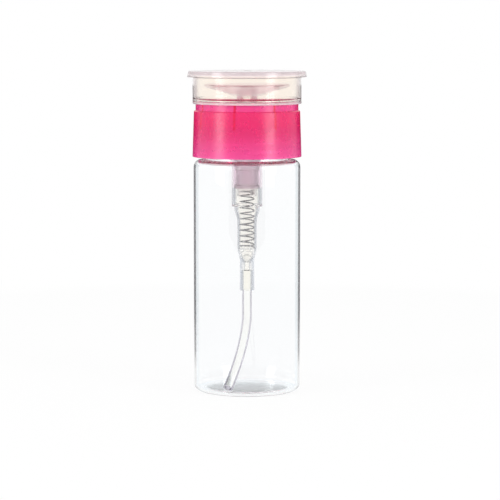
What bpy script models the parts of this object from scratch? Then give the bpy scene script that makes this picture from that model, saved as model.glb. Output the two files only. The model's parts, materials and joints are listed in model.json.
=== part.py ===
"""A press-top pump bottle for nail polish remover, at its real size in metres.

Every piece is turned about the Z axis. The bottle stands on Z = 0 and its front faces -Y.
Pieces that move as one hang under one empty, and each joint's axis is the Z axis.
"""

import math

import bmesh
import bpy
from mathutils import Matrix, Vector

# Fits
SEAT_GAP = 0.0003
RUN_GAP = 0.0003
OVERRUN = 0.0005
WELD = 1e-6

# Facets, as counts
LARGE_STEPS = 40
SMALL_STEPS = 20
FILLET_STEPS = 2
CROWN_STEPS = 4
BALL_STEPS = 14
BALL_RINGS = 8
WIRE_RESOLUTION = 1
TUBE_RESOLUTION = 3

# Bottle
BOTTLE_RADIUS = 0.0200
BOTTLE_WALL = 0.0008
BASE_THICKNESS = 0.0008
HEEL_FILLET = 0.0022
STANDING_WIDTH = 0.0012
PANEL_SLOPE = 0.00075
PANEL_LIFT = 0.0004
PANEL_CROWN = 0.0014
SHOULDER_HEIGHT = 0.0870
SHOULDER_FILLET = 0.0028
SHOULDER_WIDTH = 0.0040
NECK_HEIGHT = 0.0082
NECK_WALL = 0.0015

# Screw thread between the neck and the collar
THREAD_PITCH = 0.0032
THREAD_START = 0.0014
NECK_BEAD = 0.0008
NECK_BEAD_TURNS = 1.25
COLLAR_BEAD = 0.0007
COLLAR_BEAD_TURNS = 0.9
BEAD_POINTS_PER_TURN = 20

# Collar
COLLAR_LIFT = 0.0011
SKIRT_GAP = 0.0011
SKIRT_WALL = 0.0009
SKIRT_RECESS = 0.0005
CAVITY_WIDTH = 0.0012
COLLAR_WALL = 0.0012
COLLAR_DRAFT = 0.00055
COLLAR_FILLET = 0.0004
DECK_THICKNESS = 0.0014
WELL_DEPTH = 0.0059
LEDGE_WIDTH = 0.00065
RING_WALL = 0.0010
RING_HEIGHT = 0.0034
RIB_COUNT = 8
RIB_FIRST_ANGLE = math.radians(-103.5)
RIB_WIDTH = 0.0009
RIB_DEPTH = 0.0009
RIB_HEIGHT = 0.00745

# Dust cap
CAP_WALL = 0.0008
CAP_PLATE = 0.0012
CAP_HEADROOM = 0.0038
CAP_SKIRT_LIFT = 0.0025
CAP_FLANGE_WIDTH = 0.0021
CAP_FLANGE_HEIGHT = 0.0022
CAP_FLANGE_DRAFT = 0.0004
CAP_STOP_DEPTH = 0.0003
CAP_STOP_HEIGHT = 0.0008
CAP_FILLET = 0.0003

# Press dish
DISH_GAP = 0.00235
DISH_RIM = 0.0008
DISH_RISE = 0.00335
DISH_FLOOR = 0.00115
DISH_HUB_WALL = 0.00095
DISH_LIP = 0.0006
DISH_CLEARANCE = 0.00185
BOSS_RISE = 0.0015

# Stem
STEM_BORE = 0.00235
STEM_WALL = 0.0014
STEM_NECK_RADIUS = 0.0030
STEM_NECK_BORE = 0.0016
STEM_BORE_TAPER = 0.0010
STEM_WEB = 0.0008
CUP_WALL = 0.00045
CUP_DROP = 0.0028
POCKET_DEPTH = 0.00275

# Piston seal
PISTON_LENGTH = 0.0085
PISTON_WAIST = 0.0005
PISTON_LIP = 0.0012
STROKE = 0.0057

# Outlet valve in the stem's head
OUTLET_BALL_RADIUS = 0.0014
OUTLET_BALL_LIFT = 0.0008
OUTLET_ORIFICE = 0.0009
OUTLET_SEAT = 0.0009
INSERT_WALL = 0.0006
INSERT_DEPTH = 0.0025
INSERT_SOCKET_STEP = 0.0004
INSERT_SLOT_COUNT = 4
INSERT_SLOT_WIDTH = 0.0005
INSERT_SLOT_LENGTH = 0.0009
INSERT_SLOT_INSET = 0.0004

# Guide bush
BUSH_DISC = 0.0010
BUSH_SPIGOT = 0.0063
BUSH_TAPER = 0.0015
SLEEVE_WALL = 0.00065

# Pump housing
THROAT_STANDUP = 0.0026
THROAT_WALL = 0.0008
FLARE_WIDTH = 0.00145
FLARE_DEPTH = 0.0111
FLARE_LENGTH = 0.0033
SNAP_LIP = 0.0004
SNAP_HEIGHT = 0.0008
FLANGE_THICKNESS = 0.0011
BARREL_WALL = 0.00075
BARREL_LENGTH = 0.0272
BARREL_FLOOR = 0.0007
WAIST_GAP = 0.0004
WAIST_WALL = 0.0008
WAIST_TAPER = 0.0034
WAIST_SHIFT = 0.0006
SPRING_TUBE_WALL = 0.0005
SPRING_TUBE_DEPTH = 0.0168
NOSE_TAPER = 0.0043
SOCKET_WALL = 0.00055
SOCKET_FLARE = 0.00010
SOCKET_DEPTH = 0.0078

# Inlet valve in the housing's nose
INLET_BALL_RADIUS = 0.00175
INLET_BALL_LIFT = 0.0008
INLET_BALL_PLAY = 0.00055
INLET_LIP = 0.0007
INLET_LIP_BITE = 0.0002
INLET_CHANNEL = 0.0012
INLET_CHANNEL_LENGTH = 0.0022
INLET_SEAT_HALF_ANGLE = math.radians(28.8)

# Neck gasket
GASKET_THICKNESS = 0.0008
GASKET_WIDTH = 0.0035
GASKET_INSET = 0.0001

# Return spring
SPRING_WIRE = 0.0005
SPRING_RADIUS = 0.0026
SPRING_OPEN_TURNS = 9
SPRING_END_TURNS = 1
SPRING_END_PITCH = 0.0011
SPRING_POINTS_PER_TURN = 9

# Dip tube
TUBE_RADIUS = 0.0018
TUBE_WALL = 0.0005
TUBE_TIP_INSET = 0.00265
TUBE_DIRECTION = math.radians(245)
TUBE_BEND_START_SHARE = 0.75
TUBE_BEND_POWER = 1.775
TUBE_STRAIGHT_POINTS = 3
TUBE_BEND_POINTS = 13

# Radii, from the neck outwards
NECK_RADIUS = BOTTLE_RADIUS - SHOULDER_WIDTH
NECK_BORE = NECK_RADIUS - NECK_WALL
SKIRT_BORE = NECK_RADIUS + SKIRT_GAP
SKIRT_RADIUS = SKIRT_BORE + SKIRT_WALL
COLLAR_BORE = SKIRT_RADIUS + CAVITY_WIDTH
COLLAR_FOOT_RADIUS = COLLAR_BORE + COLLAR_WALL
COLLAR_TOP_RADIUS = COLLAR_FOOT_RADIUS - COLLAR_DRAFT
RING_RADIUS = COLLAR_TOP_RADIUS - LEDGE_WIDTH
WELL_RADIUS = RING_RADIUS - RING_WALL
CAP_BORE = RING_RADIUS + SEAT_GAP
CAP_SKIRT_RADIUS = CAP_BORE + CAP_WALL
CAP_FLANGE_RADIUS = CAP_SKIRT_RADIUS + CAP_FLANGE_WIDTH
DISH_RADIUS = WELL_RADIUS - DISH_GAP
PANEL_RADIUS = BOTTLE_RADIUS - HEEL_FILLET - STANDING_WIDTH - PANEL_SLOPE

# Radii, from the axis outwards
STEM_RADIUS = STEM_BORE + STEM_WALL
SLEEVE_BORE = STEM_RADIUS + RUN_GAP
SLEEVE_RADIUS = SLEEVE_BORE + SLEEVE_WALL
BARREL_BORE = SLEEVE_RADIUS + RUN_GAP
BARREL_RADIUS = BARREL_BORE + BARREL_WALL
THROAT_RADIUS = BARREL_RADIUS + FLARE_WIDTH
THROAT_BORE = THROAT_RADIUS - THROAT_WALL
DECK_HOLE = THROAT_RADIUS + RUN_GAP
SPRING_OUTER = SPRING_RADIUS + SPRING_WIRE / 2
SPRING_BORE = SPRING_OUTER + RUN_GAP
CUP_RADIUS = SPRING_BORE + CUP_WALL
WAIST_BORE = CUP_RADIUS + WAIST_GAP
WAIST_RADIUS = WAIST_BORE + WAIST_WALL
SPRING_TUBE_RADIUS = SPRING_BORE + SPRING_TUBE_WALL
INLET_CHAMBER = INLET_BALL_RADIUS + INLET_BALL_PLAY
INLET_LIP_BORE = INLET_BALL_RADIUS - INLET_LIP_BITE
SOCKET_BORE = TUBE_RADIUS + SEAT_GAP
SOCKET_RADIUS = SOCKET_BORE + SOCKET_WALL
PISTON_RADIUS = BARREL_BORE - RUN_GAP
PISTON_BORE = STEM_NECK_RADIUS + SEAT_GAP
INSERT_SOCKET = STEM_BORE + INSERT_SOCKET_STEP
INSERT_RADIUS = INSERT_SOCKET - SEAT_GAP
DISH_BORE = STEM_RADIUS + SEAT_GAP
DISH_HUB_RADIUS = DISH_BORE + DISH_HUB_WALL

# Heights, from the neck upwards
NECK_TOP = SHOULDER_HEIGHT + NECK_HEIGHT
GASKET_BOTTOM = NECK_TOP + SEAT_GAP
GASKET_TOP = GASKET_BOTTOM + GASKET_THICKNESS
FLANGE_BOTTOM = GASKET_TOP + SEAT_GAP
FLANGE_TOP = FLANGE_BOTTOM + FLANGE_THICKNESS
DECK_BOTTOM = FLANGE_TOP + RUN_GAP
DECK_TOP = DECK_BOTTOM + DECK_THICKNESS
LEDGE_TOP = DECK_TOP + WELL_DEPTH
RING_TOP = LEDGE_TOP + RING_HEIGHT
COLLAR_FOOT = SHOULDER_HEIGHT + COLLAR_LIFT
THROAT_TOP = DECK_TOP + THROAT_STANDUP
BUSH_BOTTOM = THROAT_TOP + SEAT_GAP
BUSH_TOP = BUSH_BOTTOM + BUSH_DISC
DISH_BOTTOM = BUSH_TOP + STROKE + DISH_CLEARANCE
DISH_EDGE_BOTTOM = DISH_BOTTOM + DISH_RISE
DISH_TOP = DISH_EDGE_BOTTOM + DISH_RIM
BOSS_TOP = DISH_BOTTOM + DISH_FLOOR + BOSS_RISE
BOSS_CEILING = BOSS_TOP - DISH_LIP
STEM_TOP = BOSS_CEILING - SEAT_GAP
CAP_CEILING = DISH_TOP + CAP_HEADROOM
CAP_TOP = CAP_CEILING + CAP_PLATE
CAP_FOOT = LEDGE_TOP + CAP_SKIRT_LIFT
CAP_STOP = RING_TOP + SEAT_GAP

# Heights, from the flange downwards
BARREL_FOOT = FLANGE_BOTTOM - BARREL_LENGTH
FLOOR_TOP = BARREL_FOOT + BARREL_FLOOR
PISTON_BOTTOM = FLOOR_TOP + STROKE + RUN_GAP
PISTON_TOP = PISTON_BOTTOM + PISTON_LENGTH
SLEEVE_FOOT = PISTON_TOP + SEAT_GAP
CUP_BOTTOM = PISTON_BOTTOM - CUP_DROP
CUP_CEILING = CUP_BOTTOM + POCKET_DEPTH
CUP_TOP = CUP_CEILING + STEM_WEB
WAIST_FOOT = CUP_BOTTOM - STROKE - RUN_GAP
SPRING_LEDGE = FLOOR_TOP - SPRING_TUBE_DEPTH
INLET_CEILING = SPRING_LEDGE - INLET_LIP
INLET_BALL_HEIGHT = INLET_CEILING - SEAT_GAP - INLET_BALL_LIFT - INLET_BALL_RADIUS
SEAT_APEX = INLET_BALL_HEIGHT - (INLET_BALL_RADIUS + SEAT_GAP) / math.sin(INLET_SEAT_HALF_ANGLE)
SEAT_TOP = SEAT_APEX + INLET_CHAMBER / math.tan(INLET_SEAT_HALF_ANGLE)
SEAT_BOTTOM = SEAT_APEX + INLET_CHANNEL / math.tan(INLET_SEAT_HALF_ANGLE)
TUBE_STOP = SEAT_BOTTOM - INLET_CHANNEL_LENGTH
SOCKET_FOOT = TUBE_STOP - SOCKET_DEPTH
NOSE_FOOT = SPRING_LEDGE - NOSE_TAPER

# Heights in the stem's head
OUTLET_BALL_HEIGHT = BOSS_CEILING - SEAT_GAP - OUTLET_BALL_LIFT - OUTLET_BALL_RADIUS
OUTLET_SEAT_TOP = OUTLET_BALL_HEIGHT - math.sqrt((OUTLET_BALL_RADIUS + SEAT_GAP) ** 2 - OUTLET_ORIFICE**2)
OUTLET_SEAT_BOTTOM = OUTLET_SEAT_TOP - OUTLET_SEAT
INSERT_BOTTOM = BOSS_TOP - INSERT_DEPTH
INSERT_SOCKET_FLOOR = INSERT_BOTTOM - SEAT_GAP


def clear_scene():
    """Empties the scene of whatever it holds."""
    for thing in list(bpy.data.objects):
        bpy.data.objects.remove(thing, do_unlink=True)


def new_collection(name):
    """A collection linked to the scene."""
    found = bpy.data.collections.new(name)
    bpy.context.scene.collection.children.link(found)
    return found


def material(name, colour, roughness, transmission):
    """A plain plastic, rubber or metal finish."""
    made = bpy.data.materials.new(name)
    made.use_nodes = True
    shader = made.node_tree.nodes["Principled BSDF"]
    shader.inputs["Base Color"].default_value = (*colour, 1)
    shader.inputs["Roughness"].default_value = roughness
    shader.inputs["Metallic"].default_value = 0
    shader.inputs["Transmission Weight"].default_value = transmission
    return made


def rounded(corners, closed):
    """The outline through (radius, height, fillet) corners, with an arc at each corner that has a fillet."""
    outline = []
    last = len(corners) - 1
    for index, (radius, height, fillet) in enumerate(corners):
        corner = Vector((radius, height))
        if fillet == 0 or (not closed and index in (0, last)):
            outline.append(corner)
            continue
        back = Vector(corners[index - 1][:2]) - corner
        ahead = Vector(corners[(index + 1) % len(corners)][:2]) - corner
        half = back.angle(ahead) / 2
        reach = min(fillet / math.tan(half), back.length / 2, ahead.length / 2)
        centre = corner + (back.normalized() + ahead.normalized()).normalized() * (reach / math.cos(half))
        start = corner + back.normalized() * reach - centre
        sweep = start.angle_signed(corner + ahead.normalized() * reach - centre)
        for step in range(FILLET_STEPS + 1):
            turn = Matrix.Rotation(-sweep * step / FILLET_STEPS, 2)
            outline.append(centre + turn @ start)
    return outline


def turned(name, corners, steps, closed=True):
    """An object turned from an outline that runs down its outer side, joined at the axis where it is open."""
    outline = rounded(corners, closed)
    edges = [(index, index + 1) for index in range(len(outline) - 1)]
    if closed:
        edges.append((len(outline) - 1, 0))
    mesh = bpy.data.meshes.new(name)
    mesh.from_pydata([(point.x, 0, point.y) for point in outline], edges, [])
    made = bpy.data.objects.new(name, mesh)
    screw = made.modifiers.new("Turn", "SCREW")
    screw.steps = steps
    screw.render_steps = steps
    screw.use_merge_vertices = True
    screw.merge_threshold = WELD
    screw.use_smooth_shade = True
    return made


def swept(name, route, radius, resolution, caps, twist="Z_UP"):
    """A round bar or an open tube along a route of points."""
    curve = bpy.data.curves.new(name, "CURVE")
    curve.dimensions = "3D"
    curve.twist_mode = twist
    curve.bevel_depth = radius
    curve.bevel_resolution = resolution
    curve.use_fill_caps = caps
    spline = curve.splines.new("POLY")
    spline.points.add(len(route) - 1)
    for target, point in zip(spline.points, route):
        target.co = (*point, 1)
    guide = bpy.data.objects.new(name, curve)
    bpy.context.scene.collection.objects.link(guide)
    evaluated = guide.evaluated_get(bpy.context.evaluated_depsgraph_get())
    mesh = bpy.data.meshes.new_from_object(evaluated)
    shape = bmesh.new()
    shape.from_mesh(mesh)
    bmesh.ops.remove_doubles(shape, verts=shape.verts, dist=WELD)
    shape.to_mesh(mesh)
    shape.free()
    bpy.data.objects.remove(guide, do_unlink=True)
    bpy.data.curves.remove(curve)
    mesh.shade_smooth()
    mesh.name = name
    return bpy.data.objects.new(name, mesh)


def helper(shape, cutters):
    """Puts a shape that joins or cuts another among the cutters."""
    cutters.objects.link(shape)
    shape.hide_render = True
    shape.display_type = "WIRE"
    return shape


def combine(target, other, operation):
    """Joins another shape to the target, or cuts it out."""
    boolean = target.modifiers.new(operation.title() + " " + other.name, "BOOLEAN")
    boolean.operation = operation
    boolean.object = other


def helix(radius, top, turns, pitch, points_per_turn):
    """Points of a right-handed helix that climbs to its top, which lies at +X."""
    count = round(turns * points_per_turn)
    route = []
    for index in range(count + 1):
        turns_down = turns * (1 - index / count)
        angle = -math.tau * turns_down
        height = top - pitch * turns_down
        route.append((radius * math.cos(angle), radius * math.sin(angle), height))
    return route


def panel_points(lift):
    """The crowned base panel from its edge to the axis, without the edge itself."""
    points = []
    for step in range(1, CROWN_STEPS + 1):
        share = 1 - step / CROWN_STEPS
        points.append((PANEL_RADIUS * share, lift + PANEL_CROWN * (1 - share**2), 0))
    return points


def make_bottle(cutters):
    """The clear bottle: a thin round body, a flat shoulder and a threaded neck."""
    bore = BOTTLE_RADIUS - BOTTLE_WALL
    inside = list(reversed(panel_points(PANEL_LIFT + BASE_THICKNESS)))
    inside += [
        (PANEL_RADIUS, PANEL_LIFT + BASE_THICKNESS, 0),
        (PANEL_RADIUS + PANEL_SLOPE, BASE_THICKNESS, 0),
        (bore, BASE_THICKNESS, HEEL_FILLET - BOTTLE_WALL),
        (bore, SHOULDER_HEIGHT - BOTTLE_WALL, SHOULDER_FILLET - BOTTLE_WALL),
        (NECK_BORE, SHOULDER_HEIGHT - BOTTLE_WALL, 0),
        (NECK_BORE, NECK_TOP, 0),
    ]
    outside = [
        (NECK_RADIUS, NECK_TOP, 0),
        (NECK_RADIUS, SHOULDER_HEIGHT, 0),
        (BOTTLE_RADIUS, SHOULDER_HEIGHT, SHOULDER_FILLET),
        (BOTTLE_RADIUS, 0, HEEL_FILLET),
        (PANEL_RADIUS + PANEL_SLOPE, 0, 0),
        (PANEL_RADIUS, PANEL_LIFT, 0),
    ]
    bottle = turned("bottle", inside + outside + panel_points(PANEL_LIFT), LARGE_STEPS, closed=False)
    route = helix(
        NECK_RADIUS, NECK_TOP - THREAD_START, NECK_BEAD_TURNS, THREAD_PITCH, BEAD_POINTS_PER_TURN
    )
    bead = helper(swept("neck_thread", route, NECK_BEAD, WIRE_RESOLUTION, caps=True), cutters)
    combine(bottle, bead, "UNION")
    return bottle


def thread_offset():
    """How far the collar's bead lies below the neck's, flank to flank with the running gap between them."""
    reach = NECK_BEAD + COLLAR_BEAD + RUN_GAP
    return math.sqrt(max(reach**2 - SKIRT_GAP**2, 0))


def rib_blocks():
    """The upright ribs on the wall of the collar's well, as one set of boxes."""
    shape = bmesh.new()
    depth = RIB_DEPTH + OVERRUN
    height = RIB_HEIGHT + OVERRUN
    middle = Vector((WELL_RADIUS - RIB_DEPTH + depth / 2, 0, DECK_TOP - OVERRUN + height / 2))
    for index in range(RIB_COUNT):
        box = bmesh.ops.create_cube(shape, size=1)["verts"]
        bmesh.ops.scale(shape, vec=(depth, RIB_WIDTH, height), verts=box)
        bmesh.ops.translate(shape, vec=middle, verts=box)
        turn = Matrix.Rotation(RIB_FIRST_ANGLE + math.tau * index / RIB_COUNT, 3, "Z")
        bmesh.ops.rotate(shape, cent=(0, 0, 0), matrix=turn, verts=box)
    mesh = bpy.data.meshes.new("well_ribs")
    shape.to_mesh(mesh)
    shape.free()
    return bpy.data.objects.new("well_ribs", mesh)


def make_collar(cutters):
    """The coloured screw collar: two walls under a deck, and a ribbed well with a ring for the cap."""
    bore_top = COLLAR_BORE - COLLAR_DRAFT * (DECK_BOTTOM - COLLAR_FOOT) / (LEDGE_TOP - COLLAR_FOOT)
    skirt_foot = COLLAR_FOOT + SKIRT_RECESS
    collar = turned(
        "collar",
        [
            (RING_RADIUS, RING_TOP, COLLAR_FILLET),
            (RING_RADIUS, LEDGE_TOP, 0),
            (COLLAR_TOP_RADIUS, LEDGE_TOP, COLLAR_FILLET),
            (COLLAR_FOOT_RADIUS, COLLAR_FOOT, 0),
            (COLLAR_BORE, COLLAR_FOOT, 0),
            (bore_top, DECK_BOTTOM, 0),
            (SKIRT_RADIUS, DECK_BOTTOM, 0),
            (SKIRT_RADIUS, skirt_foot, 0),
            (SKIRT_BORE, skirt_foot, 0),
            (SKIRT_BORE, DECK_BOTTOM, 0),
            (DECK_HOLE, DECK_BOTTOM, 0),
            (DECK_HOLE, DECK_TOP, 0),
            (WELL_RADIUS, DECK_TOP, 0),
            (WELL_RADIUS, RING_TOP, 0),
        ],
        LARGE_STEPS,
    )
    combine(collar, helper(rib_blocks(), cutters), "UNION")
    top = NECK_TOP - THREAD_START - thread_offset()
    route = helix(SKIRT_BORE, top, COLLAR_BEAD_TURNS, THREAD_PITCH, BEAD_POINTS_PER_TURN)
    bead = helper(swept("collar_thread", route, COLLAR_BEAD, WIRE_RESOLUTION, caps=True), cutters)
    combine(collar, bead, "UNION")
    return collar


def make_dust_cap():
    """The see-through cap: a flat plate with a wide flange over a short skirt that grips the ring."""
    flange_foot = CAP_TOP - CAP_FLANGE_HEIGHT
    stop_bore = CAP_BORE - CAP_STOP_DEPTH
    stop_top = CAP_STOP + CAP_STOP_HEIGHT
    corners = [
        (0, CAP_TOP, 0),
        (CAP_FLANGE_RADIUS - CAP_FLANGE_DRAFT, CAP_TOP, CAP_FILLET),
        (CAP_FLANGE_RADIUS, flange_foot, 0),
        (CAP_SKIRT_RADIUS, flange_foot, 0),
        (CAP_SKIRT_RADIUS, CAP_FOOT, CAP_FILLET),
        (CAP_BORE, CAP_FOOT, 0),
        (CAP_BORE, CAP_STOP, 0),
        (stop_bore, CAP_STOP, 0),
        (stop_bore, stop_top, 0),
        (CAP_BORE, stop_top + CAP_STOP_DEPTH, 0),
        (CAP_BORE, CAP_CEILING, 0),
        (0, CAP_CEILING, 0),
    ]
    return turned("dust_cap", corners, LARGE_STEPS, closed=False)


def make_press_dish():
    """The dish that is pressed: a shallow cone with a thin rim, and a boss that sits on the stem."""
    floor_top = DISH_BOTTOM + DISH_FLOOR
    lip_bore = INSERT_RADIUS + SEAT_GAP
    corners = [
        (DISH_RADIUS, DISH_TOP, 0),
        (DISH_RADIUS, DISH_EDGE_BOTTOM, 0),
        (DISH_HUB_RADIUS, DISH_BOTTOM, 0),
        (DISH_BORE, DISH_BOTTOM, 0),
        (DISH_BORE, BOSS_CEILING, 0),
        (lip_bore, BOSS_CEILING, 0),
        (lip_bore, BOSS_TOP, 0),
        (DISH_HUB_RADIUS, BOSS_TOP, DISH_LIP),
        (DISH_HUB_RADIUS, floor_top, 0),
        (DISH_RADIUS - DISH_RIM, DISH_TOP, 0),
    ]
    return turned("press_dish", corners, LARGE_STEPS)


def make_outlet_insert(cutters):
    """The slotted cage that closes the stem's head over the outlet ball."""
    cage_bore = INSERT_RADIUS - INSERT_WALL
    corners = [
        (0, BOSS_TOP, 0),
        (INSERT_RADIUS, BOSS_TOP, 0),
        (INSERT_RADIUS, INSERT_BOTTOM, 0),
        (cage_bore, INSERT_BOTTOM, 0),
        (cage_bore, BOSS_CEILING, 0),
        (0, BOSS_CEILING, 0),
    ]
    insert = turned("outlet_insert", corners, SMALL_STEPS, closed=False)
    shape = bmesh.new()
    depth = DISH_LIP + 2 * OVERRUN
    for index in range(INSERT_SLOT_COUNT):
        box = bmesh.ops.create_cube(shape, size=1)["verts"]
        bmesh.ops.scale(shape, vec=(INSERT_SLOT_LENGTH, INSERT_SLOT_WIDTH, depth), verts=box)
        middle = (INSERT_SLOT_INSET + INSERT_SLOT_LENGTH / 2, 0, BOSS_CEILING + DISH_LIP / 2)
        bmesh.ops.translate(shape, vec=middle, verts=box)
        turn = Matrix.Rotation(math.tau * (index + 1 / 2) / INSERT_SLOT_COUNT, 3, "Z")
        bmesh.ops.rotate(shape, cent=(0, 0, 0), matrix=turn, verts=box)
    mesh = bpy.data.meshes.new("outlet_slots")
    shape.to_mesh(mesh)
    shape.free()
    combine(insert, helper(bpy.data.objects.new("outlet_slots", mesh), cutters), "DIFFERENCE")
    return insert


def make_stem():
    """The hollow stem: a spring cup, a neck for the seal, and a wide tube up to the outlet valve."""
    corners = [
        (STEM_RADIUS, STEM_TOP, 0),
        (STEM_RADIUS, SLEEVE_FOOT, 0),
        (STEM_NECK_RADIUS, SLEEVE_FOOT, 0),
        (STEM_NECK_RADIUS, CUP_TOP, 0),
        (CUP_RADIUS, CUP_TOP, 0),
        (CUP_RADIUS, CUP_BOTTOM, 0),
        (SPRING_BORE, CUP_BOTTOM, 0),
        (SPRING_BORE, CUP_CEILING, 0),
        (STEM_NECK_BORE, CUP_CEILING, 0),
        (STEM_NECK_BORE, SLEEVE_FOOT + STEM_WEB, 0),
        (STEM_BORE, SLEEVE_FOOT + STEM_WEB + STEM_BORE_TAPER, 0),
        (STEM_BORE, OUTLET_SEAT_BOTTOM, 0),
        (OUTLET_ORIFICE, OUTLET_SEAT_BOTTOM, 0),
        (OUTLET_ORIFICE, OUTLET_SEAT_TOP, 0),
        (STEM_BORE, OUTLET_SEAT_TOP, 0),
        (STEM_BORE, INSERT_SOCKET_FLOOR, 0),
        (INSERT_SOCKET, INSERT_SOCKET_FLOOR, 0),
        (INSERT_SOCKET, STEM_TOP, 0),
    ]
    return turned("stem", corners, SMALL_STEPS)


def make_piston_seal():
    """The soft piston on the stem's neck, with a sealing lip at each end."""
    waist = PISTON_RADIUS - PISTON_WAIST
    counterbore = CUP_RADIUS + SEAT_GAP
    corners = [
        (PISTON_RADIUS, PISTON_TOP, 0),
        (PISTON_RADIUS, PISTON_TOP - PISTON_LIP, 0),
        (waist, PISTON_TOP - PISTON_LIP - PISTON_WAIST, 0),
        (waist, PISTON_BOTTOM + PISTON_LIP + PISTON_WAIST, 0),
        (PISTON_RADIUS, PISTON_BOTTOM + PISTON_LIP, 0),
        (PISTON_RADIUS, PISTON_BOTTOM, 0),
        (counterbore, PISTON_BOTTOM, 0),
        (counterbore, CUP_TOP + SEAT_GAP, 0),
        (PISTON_BORE, CUP_TOP + SEAT_GAP, 0),
        (PISTON_BORE, PISTON_TOP, 0),
    ]
    return turned("piston_seal", corners, SMALL_STEPS)


def make_guide_bush():
    """The bush that closes the housing, guides the stem and stops the piston's rise."""
    spigot = THROAT_BORE - SEAT_GAP
    spigot_foot = BUSH_BOTTOM - BUSH_SPIGOT
    corners = [
        (THROAT_RADIUS, BUSH_TOP, CAP_FILLET),
        (THROAT_RADIUS, BUSH_BOTTOM, 0),
        (spigot, BUSH_BOTTOM, 0),
        (spigot, spigot_foot, 0),
        (SLEEVE_RADIUS, spigot_foot - BUSH_TAPER, 0),
        (SLEEVE_RADIUS, SLEEVE_FOOT, 0),
        (SLEEVE_BORE, SLEEVE_FOOT, 0),
        (SLEEVE_BORE, BUSH_TOP, 0),
    ]
    return turned("guide_bush", corners, SMALL_STEPS)


def make_pump_housing():
    """The pump's body: a flange and throat, the barrel, the spring tube, the valve nose and the tube socket."""
    flange_radius = NECK_RADIUS - GASKET_INSET
    flare_foot = FLANGE_BOTTOM - FLARE_DEPTH
    flare_top = flare_foot + FLARE_LENGTH
    snap_foot = DECK_TOP + RUN_GAP
    outside = [
        (THROAT_RADIUS, THROAT_TOP, 0),
        (THROAT_RADIUS, snap_foot + SNAP_HEIGHT, 0),
        (DECK_HOLE + SNAP_LIP, snap_foot, 0),
        (THROAT_RADIUS, snap_foot, 0),
        (THROAT_RADIUS, FLANGE_TOP, 0),
        (flange_radius, FLANGE_TOP, 0),
        (flange_radius, FLANGE_BOTTOM, 0),
        (THROAT_RADIUS, FLANGE_BOTTOM, 0),
        (THROAT_RADIUS, flare_top, 0),
        (BARREL_RADIUS, flare_foot, 0),
        (BARREL_RADIUS, BARREL_FOOT, 0),
        (WAIST_RADIUS, BARREL_FOOT, 0),
        (WAIST_RADIUS, WAIST_FOOT + WAIST_SHIFT, 0),
        (SPRING_TUBE_RADIUS, WAIST_FOOT + WAIST_SHIFT - WAIST_TAPER, 0),
        (SPRING_TUBE_RADIUS, SPRING_LEDGE, 0),
        (SOCKET_RADIUS, NOSE_FOOT, 0),
        (SOCKET_RADIUS + SOCKET_FLARE, SOCKET_FOOT, 0),
    ]
    inside = [
        (SOCKET_BORE, SOCKET_FOOT, 0),
        (SOCKET_BORE, TUBE_STOP, 0),
        (INLET_CHANNEL, TUBE_STOP, 0),
        (INLET_CHANNEL, SEAT_BOTTOM, 0),
        (INLET_CHAMBER, SEAT_TOP, 0),
        (INLET_CHAMBER, INLET_CEILING, 0),
        (INLET_LIP_BORE, INLET_CEILING, 0),
        (INLET_LIP_BORE, SPRING_LEDGE, 0),
        (SPRING_BORE, SPRING_LEDGE, 0),
        (SPRING_BORE, WAIST_FOOT - WAIST_TAPER, 0),
        (WAIST_BORE, WAIST_FOOT, 0),
        (WAIST_BORE, FLOOR_TOP, 0),
        (BARREL_BORE, FLOOR_TOP, 0),
        (BARREL_BORE, flare_foot - RUN_GAP, 0),
        (THROAT_BORE, flare_top - RUN_GAP, 0),
        (THROAT_BORE, THROAT_TOP, 0),
    ]
    return turned("pump_housing", outside + inside, SMALL_STEPS)


def make_neck_gasket():
    """The flat sealing ring between the neck and the pump's flange."""
    radius = NECK_RADIUS - GASKET_INSET
    corners = [
        (radius, GASKET_TOP, 0),
        (radius, GASKET_BOTTOM, 0),
        (radius - GASKET_WIDTH, GASKET_BOTTOM, 0),
        (radius - GASKET_WIDTH, GASKET_TOP, 0),
    ]
    return turned("neck_gasket", corners, LARGE_STEPS)


def spring_route():
    """The spring's centreline: open turns between one close turn at each end."""
    bottom = SPRING_LEDGE + SEAT_GAP + SPRING_WIRE / 2
    top = CUP_CEILING - SEAT_GAP - SPRING_WIRE / 2
    open_pitch = (top - bottom - 2 * SPRING_END_TURNS * SPRING_END_PITCH) / SPRING_OPEN_TURNS
    turns = SPRING_OPEN_TURNS + 2 * SPRING_END_TURNS
    route = []
    height = bottom
    for index in range(turns * SPRING_POINTS_PER_TURN + 1):
        turn = index / SPRING_POINTS_PER_TURN
        route.append(Vector((SPRING_RADIUS, 0, height)))
        route[-1].rotate(Matrix.Rotation(math.tau * turn, 3, "Z"))
        in_open = SPRING_END_TURNS <= turn < turns - SPRING_END_TURNS
        height += (open_pitch if in_open else SPRING_END_PITCH) / SPRING_POINTS_PER_TURN
    return route


def least_gap(route):
    """The least clear distance between points of the wire that are over half a turn apart."""
    apart = SPRING_POINTS_PER_TURN // 2
    pairs = (
        (here - there).length
        for index, here in enumerate(route)
        for there in route[index + apart + 1 :]
    )
    return min(pairs) - SPRING_WIRE


def make_return_spring():
    """The wire spring between the housing's ledge and the stem's cup."""
    route = spring_route()
    print(f"return_spring: least gap between turns {least_gap(route) * 1000:.2f} mm")
    return swept("return_spring", route, SPRING_WIRE / 2, WIRE_RESOLUTION, caps=True)


def make_ball(name, radius, height):
    """A valve ball with its centre on the axis."""
    shape = bmesh.new()
    bmesh.ops.create_uvsphere(shape, u_segments=BALL_STEPS, v_segments=BALL_RINGS, radius=radius)
    mesh = bpy.data.meshes.new(name)
    shape.to_mesh(mesh)
    shape.free()
    mesh.shade_smooth()
    made = bpy.data.objects.new(name, mesh)
    made.location = (0, 0, height)
    return made


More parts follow.
